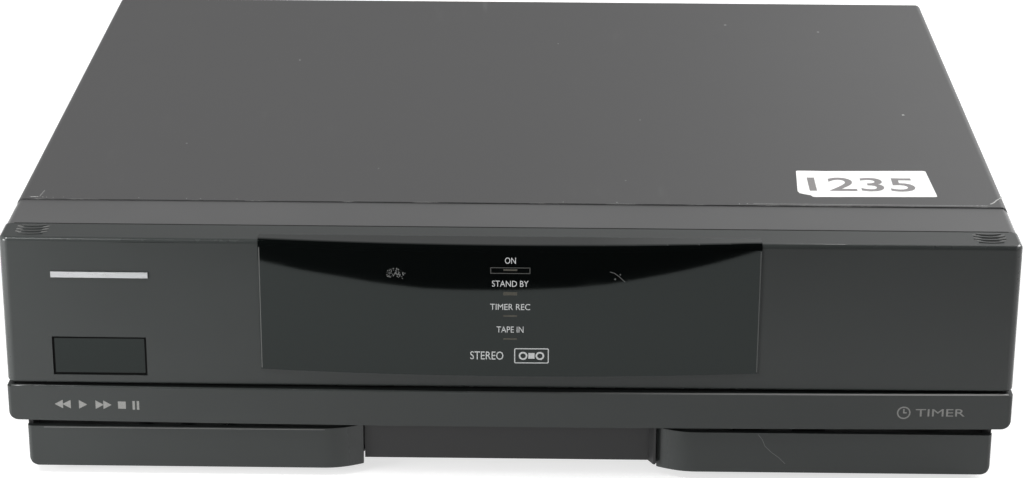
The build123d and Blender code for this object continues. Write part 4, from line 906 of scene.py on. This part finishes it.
# %% Sound word and cassette drawing
def cassette_drawing(width, height, line):
    """A plain cassette: a frame, two reels and the window between them."""
    shapes = band(rounded_box(-width / 2, width / 2, -height / 2, height / 2, 0.5), line, closed=True)
    reel_x, reel_radius = width * 0.25, height * 0.23
    for side in (-1, 1):
        shapes += band(arc_points(side * reel_x, 0.0, reel_radius, 20), line * 1.7, closed=True)
    between = reel_x - reel_radius * 1.5
    shapes.append(box_shape(-between, between, -height * 0.2, height * 0.2))
    return shapes


LOW_MARKS_Z = -49.5
window_mark("sound_word", lettering("STEREO", 3.7, 14.0), (-9.4, LOW_MARKS_Z))
window_mark("cassette_mark", cassette_drawing(14.2, 6.5, 0.42), (9.5, LOW_MARKS_Z))
print("sound word and cassette drawn")

# %% [markdown]
# ## Marks on the strip
# The strip carries the signs that every tape machine shares, in a quiet grey: back, play, forward,
# stop and pause at the left, and a clock for the timer at the right.

# %% Signs of a tape machine
PLAY = [[(-0.42, -0.5), (0.46, 0.0), (-0.42, 0.5)]]
POWER_GAP = math.radians(38)
power_ring = arc_points(0.0, 0.0, 0.4, 24, math.pi / 2 + POWER_GAP, 2 * (math.pi - POWER_GAP))
clock_hands = [(0.0, 0.30), (0.0, 0.0), (0.22, 0.0)]
SIGNS = {  # each around 0, and 1 high
    "play": PLAY,
    "winding": moved(PLAY, -0.42) + moved(PLAY, 0.42),
    "pause": [box_shape(-0.36, -0.10, -0.5, 0.5), box_shape(0.10, 0.36, -0.5, 0.5)],
    "stop": [box_shape(-0.42, 0.42, -0.42, 0.42)],
    "eject": [[(-0.5, -0.12), (0.5, -0.12), (0.0, 0.5)], box_shape(-0.5, 0.5, -0.5, -0.27)],
    "record": [arc_points(0.0, 0.0, 0.4, 28)],
    "power": band(power_ring, 0.13) + [box_shape(-0.065, 0.065, 0.05, 0.55)],
    "clock": band(arc_points(0.0, 0.0, 0.45, 32), 0.10, closed=True) + band(clock_hands, 0.10),
}


def sign(name, size, way=1):
    """A sign at this size; a way of -1 points it to the left."""
    return [[(way * size * x, size * y) for x, y in shape] for shape in SIGNS[name]]


print("signs:", *SIGNS)

# %% Put the signs on the strip
SIGN_SIZE = 4.0
STRIP_SIGNS = [("winding", -1, -15.0), ("play", 1, -6.4), ("winding", 1, 2.4), ("stop", 1, 10.4),
               ("pause", 1, 16.4)]
strip_signs = [shape for name, way, x in STRIP_SIGNS for shape in moved(sign(name, SIGN_SIZE, way), x)]
thin_piece("strip_signs", strip_signs, on_strip, grey_ink, "chassis", (-176.2, -76.3))
timer = moved(sign("clock", 5.8), -12.0) + moved(lettering("TIMER", 3.4, 21.0), 3.6)
thin_piece("timer_mark", timer, on_strip, grey_ink, "chassis", (180.6, -76.2))
print("strip signs laid")

# %% [markdown]
# ## Finger grips on the door
# The door's top corners are ribbed for the fingers: raised ribs, made paler than the door as a painted
# highlight, with painted shade in the grooves and a painted highlight at each groove's ends. The cluster
# is a lens, so the ribs bend down in the middle and the outer ones are the shorter.

# %% Ribs and grooves
# painted shade: near-black bands in the grooves between the ribs; the left-hand ones are narrower, so
# that side is less shaded
groove_shade = ink_and_painted_light("groove_shade", (0.010, 0.010, 0.010), specular=0.05)
# the ribs are the door's plastic made paler: a painted highlight on their tops
rib_highlight_plastic = moulded_plastic("rib_highlight_plastic", (0.045, 0.047, 0.046), roughness=0.34, grain=0.1,
                              wear=0.0, specks=0.02)
# painted highlight: pale bands at both ends of each groove
rib_highlight_ink = ink_and_painted_light("rib_highlight_ink", (0.17, 0.17, 0.165))
RIB_TALL, RIB_WIDE = 0.30, 0.85
GRIP_X = 202.0
GRIP_HALF = 6.9
GROOVE_ROWS = (12.1, 9.0, 6.0)
RIB_ROWS = (13.7, 10.55, 7.5, 4.4)


def on_lip(x, y, lift):
    """A place on the door's top lip; y is behind the door face."""
    return Vector((x, FRONT_Y + y, door_high.z + lift))


def sagging_line(start, end, y, sag, steps=10):
    """Part of a line that hangs down towards the front in its middle, from -1 to 1."""
    spots = [start + (end - start) * i / steps for i in range(steps + 1)]
    return [(GRIP_HALF * spot, y + sag * spot ** 2) for spot in spots]


def grip_part(name, shapes, material, side, thickness):
    """One layer of the grip at one side of the door."""
    thin_piece(name, shapes, on_lip, material, "door", (side * GRIP_X, 0.0), thickness)


for side, side_name, groove_wide, highlight_wide in ((-1, "left", 0.30, 0.75), (1, "right", 1.00, 0.50)):
    grooves, ribs, highlight_bands = [], [], []
    for y in GROOVE_ROWS:
        grooves += band(sagging_line(-0.52, 0.52, y, 1.2), groove_wide)
        for start, end in ((-0.98, -0.62), (0.62, 0.98)):
            highlight_bands += band(sagging_line(start, end, y, 1.8, 4), highlight_wide)
    for number, y in enumerate(RIB_ROWS):
        reach = 0.95 if 0 < number < 3 else 0.75
        ribs += band(sagging_line(-reach, reach, y, 1.5), RIB_WIDE)
    grip_part(f"grip_grooves_{side_name}", grooves, groove_shade, side, 0.03)
    grip_part(f"grip_ribs_{side_name}", ribs, rib_highlight_plastic, side, RIB_TALL)
    grip_part(f"grip_highlight_{side_name}", highlight_bands, rib_highlight_ink, side, 0.05)
# painted shade: a dark band along the joint between the bezel and the door's lip
groove_x = HALF_WIDTH / MM - 4.0
thin_piece("lip_gap_shade", [box_shape(-groove_x, groove_x, 16.95, 17.55)], on_lip, groove_shade,
           "chassis", thickness=0.02)
print("grips at x = +-", GRIP_X)

# %% [markdown]
# ## A number label and signs of age on the cover
# A paper label with a plain number is stuck near the front edge. One corner of it is torn off. Around
# it, a few knocks have gone through the paint to the pale primer, and a pale line along the front edge in
# front of it is a painted highlight.


# %% Label
def cover_mark(name, shapes, material, at=(0.0, 0.0), thickness=INK, sink=0.12):
    """A thin thing on the cover's top."""
    thin_piece(name, shapes, on_cover, material, "chassis", at, thickness, sink)


label_white = label_paper("label_paper")
label_digits = ink_and_painted_light("label_digits", (0.235, 0.225, 0.225))
LABEL_OUTLINE = [
    (126.9, 90.0), (127.6, 90.5), (140.0, 90.3), (183.8, 91.6), (184.9, 90.9), (186.1, 58.6),
    (185.4, 57.9), (133.0, 56.7), (131.6, 57.0), (130.8, 58.9), (128.2, 60.1), (126.2, 61.6),
    (125.5, 64.0)]
LABEL_NUMBER = "1235"
NUMBER_PLACE = (154.4, 73.0)
LABEL_THICK = 0.06
number_shapes = lettering(LABEL_NUMBER, 17.5, 47.0, 0.012)
cover_mark("number_label", [LABEL_OUTLINE], label_white, thickness=LABEL_THICK)
cover_mark("number_on_label", number_shapes, label_digits, NUMBER_PLACE, LABEL_THICK + 0.01)
print("label number", LABEL_NUMBER)

# %% Chips in the paint
primer_and_highlight = ink_and_painted_light("primer_and_highlight", (0.46, 0.46, 0.45))
random.seed(7)


def chip(radius, corners=9):
    """A small ragged patch around 0."""
    turns = [2 * math.pi * i / corners for i in range(corners)]
    return [[(radius * random.uniform(0.55, 1.25) * math.cos(turn),
              radius * random.uniform(0.55, 1.25) * math.sin(turn)) for turn in turns]]


CHIPS = [(184.1, 170.5, 0.9), (108.0, 316.2, 0.8), (155.6, 305.0, 0.7), (-109.1, 248.9, 0.5),
         (59.0, 159.6, 0.4), (-150.2, 120.3, 0.45), (20.6, 280.4, 0.4), (-60.2, 88.4, 0.35)]
EDGE_CHIPS = 26
EDGE_CHIP_Y = 47.4
KNOCKS_AND_HIGHLIGHT = [  # lines where the paint is gone, and one painted highlight, and how wide
    ([(208.0, 49.6), (209.8, 51.6), (211.3, 54.4), (214.3, 58.6)], 0.62),  # at the right corner
    ([(-209.6, 47.9), (-206.0, 48.2)], 0.45), ([(-205.6, 48.6), (-204.6, 56.0)], 0.16),
    ([(105.0, 47.55), (206.5, 47.55)], 0.20)]  # a painted highlight along the cover's front edge, in front of the label
chips = [shape for x, y, radius in CHIPS for shape in moved(chip(radius), x, y)]
for step in range(EDGE_CHIPS):  # along the cover's front edge, most of them near the corners
    x = random.choice((-1, 1)) * (205.0 - 190.0 * random.random() ** 2.2)
    chips += moved(chip(random.uniform(0.12, 0.38), 6), x, EDGE_CHIP_Y + random.uniform(-0.1, 0.5))
for line, width in KNOCKS_AND_HIGHLIGHT:
    chips += band(line, width)
cover_mark("paint_chips_and_highlight", chips, primer_and_highlight, thickness=0.012, sink=0.05)
print("chips:", len(chips))

# %% [markdown]
# ** Scuffs on the front, and a painted highlight.** Two light scuffs on the window and a hairline scratch on the right-hand flap,
# and a painted highlight line along the top of the left-hand flap. They are thin bands of pale ink, drawn
# on the surface that they mark.

# %% Scuffs
scuff_ink = ink_and_painted_light("scuff_ink", (0.15, 0.155, 0.153))
flap_highlight_ink = ink_and_painted_light("flap_highlight_ink", (0.17, 0.17, 0.167))
SCUFF = 0.015
FLECKS = 64
PATCH_X, PATCH_Z, PATCH_WIDE, PATCH_TALL = -47.6, -13.1, 4.6, 2.7
flecks = []
for number in range(FLECKS):  # a rubbed patch, denser in its middle
    way, reach = random.uniform(0.0, 2 * math.pi), random.random() ** 0.7
    x, z = PATCH_WIDE * reach * math.cos(way), PATCH_TALL * reach * math.sin(way)
    flecks += moved(chip(random.uniform(0.10, 0.36), 6), PATCH_X + x, PATCH_Z + z)
scratch = band([(42.0, -11.3), (44.1, -12.0), (45.9, -13.4), (48.4, -15.9)], 0.22)
scratch += moved(chip(0.45, 7) + chip(0.3, 6), 44.2, -14.6) + moved(chip(0.35, 6), 46.4, -12.6)
for name, shapes in (("window_scuff_left", flecks), ("window_scuff_right", scratch)):
    thin_piece(name, shapes, on_window, scuff_ink, "door", thickness=SCUFF)

flap_low, flap_high = corners_of("right_flap")
flap_middle = (flap_low.x + flap_high.x) / 2 / MM
flap_height = (flap_low.z + flap_high.z) / 2 / MM - COVER_TOP / MM
HAIRLINE = [(107.0, -88.0), (108.9, -90.4), (110.2, -93.6), (113.0, -96.4), (116.4, -99.0),
            (119.1, -101.8)]
hairline = band([(x - flap_middle, z - flap_height) for x, z in HAIRLINE], 0.20)
thin_piece("flap_hairline", hairline, on_front_of("right_flap"), scuff_ink, "right_flap",
           thickness=SCUFF)

# painted highlight: a pale line along the top edge of the left-hand flap
left_low, left_high = corners_of("left_flap")
highlight_z = (left_high.z - left_low.z) / 2 / MM - 0.55
highlight_line = box_shape(-65.0, 56.0, highlight_z - 0.14, highlight_z + 0.14)
thin_piece("flap_edge_highlight", [highlight_line], on_front_of("left_flap"), flap_highlight_ink, "left_flap",
           thickness=SCUFF)
print("scuffs: 2 on the window, 1 on the right flap, 1 line on the left flap")

# %% [markdown]
# ** Lip of the strip.** A narrow moulded lip stands on the top edge of the strip, and narrows the
# joint under the door. Its rounded edge follows the bow of the strip, and right of the middle it is
# painted paler towards the right end, a painted highlight.

# %% Lip of the strip
LIP_PROFILE = [(0.04, -0.10), (0.04, 0.34), (0.12, 0.62), (0.30, 0.80), (0.55, 0.86), (0.80, 0.86),
               (0.80, -0.10)]
LIP_REACH, LIP_STEPS = 213.0, 72
HIGHLIGHT_FROM = -20.0  # the painted highlight begins a little left of the middle


def strip_lip(name, reach, steps, highlight_from):
    """A long lip of one cross-section; each corner of the profile is (back, up) in mm."""
    bm = bmesh.new()
    rows = []
    for step in range(steps + 1):
        start = on_strip(reach * MM * (2 * step / steps - 1), strip_high.z - COVER_TOP, 0.0)
        rows.append([bm.verts.new(start + Vector((0.0, back * MM, up * MM))) for back, up in LIP_PROFILE])
    for row, following in zip(rows, rows[1:]):
        for number in range(len(row)):
            after = (number + 1) % len(row)
            face = bm.faces.new((row[number], row[after], following[after], following[number]))
            face.smooth = 0 < number < 4
            face.material_index = int(face.smooth and row[0].co.x > highlight_from * MM)
    bm.faces.new(rows[0])
    bm.faces.new(rows[-1])
    piece = piece_from(name, bm, finishes["door_plastic"], highlight_plastic)
    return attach(piece, "chassis")


# painted highlight: the lip's rounded edge made paler towards the right end
highlight_plastic = highlight_ramp("highlight_plastic", (0.045, 0.048, 0.047), (0.30, 0.30, 0.295), 0.02, 0.19)
strip_lip("strip_lip", LIP_REACH, LIP_STEPS, HIGHLIGHT_FROM)
print("lip on the strip")

# %% [markdown]
# ## Edges of the window and the lens
# The window's two ends carry a thin pale line, a painted highlight where they catch the light. The
# infra-red lens sits in a thin near-black line, painted shade for the gap around it. The infra-red lens
# sits in a narrow black surround.

# %% Window ends and lens surround
# painted highlight: a thin pale line down each end of the window
end_highlight_ink = ink_and_painted_light("end_highlight_ink", (0.085, 0.088, 0.086))
# painted shade: a near-black line for the gap round the infra-red lens
gap_shade_ink = ink_and_painted_light("gap_shade_ink", (0.003, 0.003, 0.003), specular=0.05)
END_INSET = 0.45
for side, side_name in ((-1, "left"), (1, "right")):
    x = side * (WINDOW_HALF / MM - END_INSET)
    end_line = band([(x, -3.4), (x, (window_low.z - COVER_TOP) / MM + 0.6)], 0.42)
    thin_piece(f"window_end_{side_name}", end_line, on_window, end_highlight_ink, "door",
               thickness=0.02)
SURROUND = 0.8
lens_low, lens_high = corners_of("ir_lens")
half_x = (lens_high.x - lens_low.x) / 2 / MM - SURROUND / 2
half_z = (lens_high.z - lens_low.z) / 2 / MM - SURROUND / 2
gap_shade_outline = band(rounded_box(-half_x, half_x, -half_z, half_z, 0.6), SURROUND, closed=True)
thin_piece("lens_gap_shade", gap_shade_outline, on_front_of("ir_lens"), gap_shade_ink, "door",
           thickness=0.02)
print("lens surround", round(2 * half_x + SURROUND, 1), "x", round(2 * half_z + SURROUND, 1), "mm")

# %% [markdown]
# A narrow near-black strip stands behind the tip of the right-hand flap as painted shade, and closes the
# slit so that no light shows through from the floor.

# %% Painted shade behind the flap's tip
slit_shade = dull_rubber("slit_shade", (0.006, 0.006, 0.006))
SLIT_SHADE_BEHIND = 9.2 * MM


def behind_flap(x, z, lift):
    """A plane behind the flap's tip, clear of its swing; x is from the tip and z from the floor."""
    return Vector((flap_low.x + x, FRONT_Y + SLIT_SHADE_BEHIND - lift, z))


thin_piece("slit_shade_strip", [box_shape(-1.2, 3.4, 3.7, 20.0)], behind_flap, slit_shade, "chassis",
           thickness=0.6)
print("felt strip laid")

# %% [markdown]
# ## Marks behind the door
# The keys carry the same signs as every tape machine. Each sign rides on its own key, so that it
# moves when the key is pressed.

# %% Signs on the keys
record_ink = ink_and_painted_light("record_ink", (0.45, 0.03, 0.02))
KEY_SIGN = 3.6
KEY_INK = 0.03
minus_sign = [box_shape(-1.4, 1.4, -0.22, 0.22)]
plus_sign = minus_sign + [box_shape(-0.22, 0.22, -1.4, -0.22), box_shape(-0.22, 0.22, 0.22, 1.4)]
KEY_SIGNS = [("power_key", "power", 1), ("eject_key", "eject", 1), ("pause_key", "pause", 1),
             ("rewind_key", "winding", -1), ("stop_key", "stop", 1), ("play_key", "play", 1),
             ("forward_key", "winding", 1), ("record_key", "record", 1)]
for key, drawing, way in KEY_SIGNS:
    size = KEY_SIGN * 0.8 if drawing == "winding" else KEY_SIGN
    ink = record_ink if drawing == "record" else white_ink
    thin_piece(key.replace("key", "sign"), sign(drawing, size, way), on_front_of(key), ink, key,
               thickness=KEY_INK)
for key, shapes in (("small_key_1", minus_sign), ("small_key_2", plus_sign)):
    thin_piece(f"{key}_sign", shapes, on_front_of(key), white_ink, key, thickness=KEY_INK)
print("key signs:", len(KEY_SIGNS) + 2)

# %% [markdown]
# **Scales round the knobs.** On the fascia round the shuttle ring stand a dot for its middle and three
# growing triangles for each way. Round the level knob are eleven lines, three of them longer.


# %% Marks round the ring and the knob
def radius_of(node):
    """Half of a node's width, in millimetres."""
    low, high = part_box(node)
    return (high[0] - low[0]) / 2 / MM


def towards(degrees, reach):
    """A place at this angle from the right, and this far from the middle."""
    angle = math.radians(degrees)
    return reach * math.cos(angle), reach * math.sin(angle)


FASCIA_FACE = FRONT_Y + 20.0 * MM
ring_reach = radius_of("shuttle_ring") + 2.6
ring_marks = [arc_points(0.0, ring_reach, 0.45, 16)]
for way in (-1, 1):
    for number, turn in enumerate((25, 50, 75)):
        ring_marks += moved(sign("play", 1.2 + 0.35 * number, way), *towards(90 - way * turn, ring_reach))
knob_radius = radius_of("level_knob")
knob_marks = []
for step in range(11):
    turn, outer = 230 - 28 * step, 2.4 if step % 5 == 0 else 1.8
    knob_marks += band([towards(turn, knob_radius + 1.0), towards(turn, knob_radius + outer)], 0.22)
for name, node, marks in (("ring_marks", "shuttle_ring", ring_marks),
                          ("knob_scale", "level_knob", knob_marks)):
    thin_piece(name, marks, on_front_of(node, FASCIA_FACE), white_ink, "chassis",
               thickness=KEY_INK)
print("fascia marks:", len(ring_marks), "by the ring,", len(knob_marks), "by the knob")

# %% [markdown]
# **Display.** Switched off, a fluorescent display still shows its segments faintly through the lens.

# %% Display segments
segment_ink = ink_and_painted_light("segment_ink", (0.030, 0.034, 0.033))


def digit_drawing(tall, wide, thick):
    """All seven segments of one digit, around 0."""
    shapes = []
    for z in (-tall / 2, 0.0, tall / 2):
        shapes += band([(-wide / 2 + thick, z), (wide / 2 - thick, z)], thick)
    for x in (-wide / 2, wide / 2):
        for low in (-tall / 2, 0.0):
            shapes += band([(x, low + thick * 0.7), (x, low + tall / 2 - thick * 0.7)], thick)
    return shapes


DIGIT_SLANT = 0.08
segments = []
for x in (-27.0, -15.0, 3.0, 15.0):  # hours and minutes
    segments += moved(digit_drawing(12.0, 7.0, 1.1), x, 3.0, DIGIT_SLANT)
segments += [box_shape(-6.7, -5.5, 5.4, 6.6), box_shape(-6.9, -5.7, -0.6, 0.6)]  # the colon
for x in (26.0, 33.0):  # the channel
    segments += moved(digit_drawing(7.0, 4.2, 0.7), x, 0.4, DIGIT_SLANT)
for number in range(12):  # the level bar
    segments.append(box_shape(-32.0 + 5.4 * number, -28.4 + 5.4 * number, -12.2, -10.8))
thin_piece("display_segments", segments, on_front_of("display_lens"), segment_ink, "chassis",
           thickness=0.02)
print("display segments:", len(segments))

# %% [markdown]
# ## Marks at the back
# The sockets carry short plain words and letters, as every recorder's do.

# %% Words on the rear panel
REAR_Y = corners_of("rear_panel")[1].y


def on_rear(x, z, lift):
    """The rear panel seen from behind, so that x runs the other way; z is from the floor."""
    return Vector((-x, REAR_Y + lift, z))


REAR_WORDS = [("AERIAL IN", -171.5, 56.0, 2.4), ("TV OUT", -153.5, 56.0, 2.4),
              ("AV 1", -104.0, 49.0, 2.6), ("AV 2", -50.0, 49.0, 2.6),
              ("AUDIO IN", 58.0, 67.5, 2.4), ("AUDIO OUT", 78.0, 67.5, 2.4),
              ("L", 68.0, 52.0, 2.4), ("R", 68.0, 32.0, 2.4), ("AC IN", 165.0, 53.0, 2.4)]
for number, (word, x, z, height) in enumerate(REAR_WORDS):
    thin_piece(f"rear_word_{number + 1}", lettering(word, height), on_rear, white_ink, "chassis",
               (-x, z), thickness=0.02)
print("rear words laid")
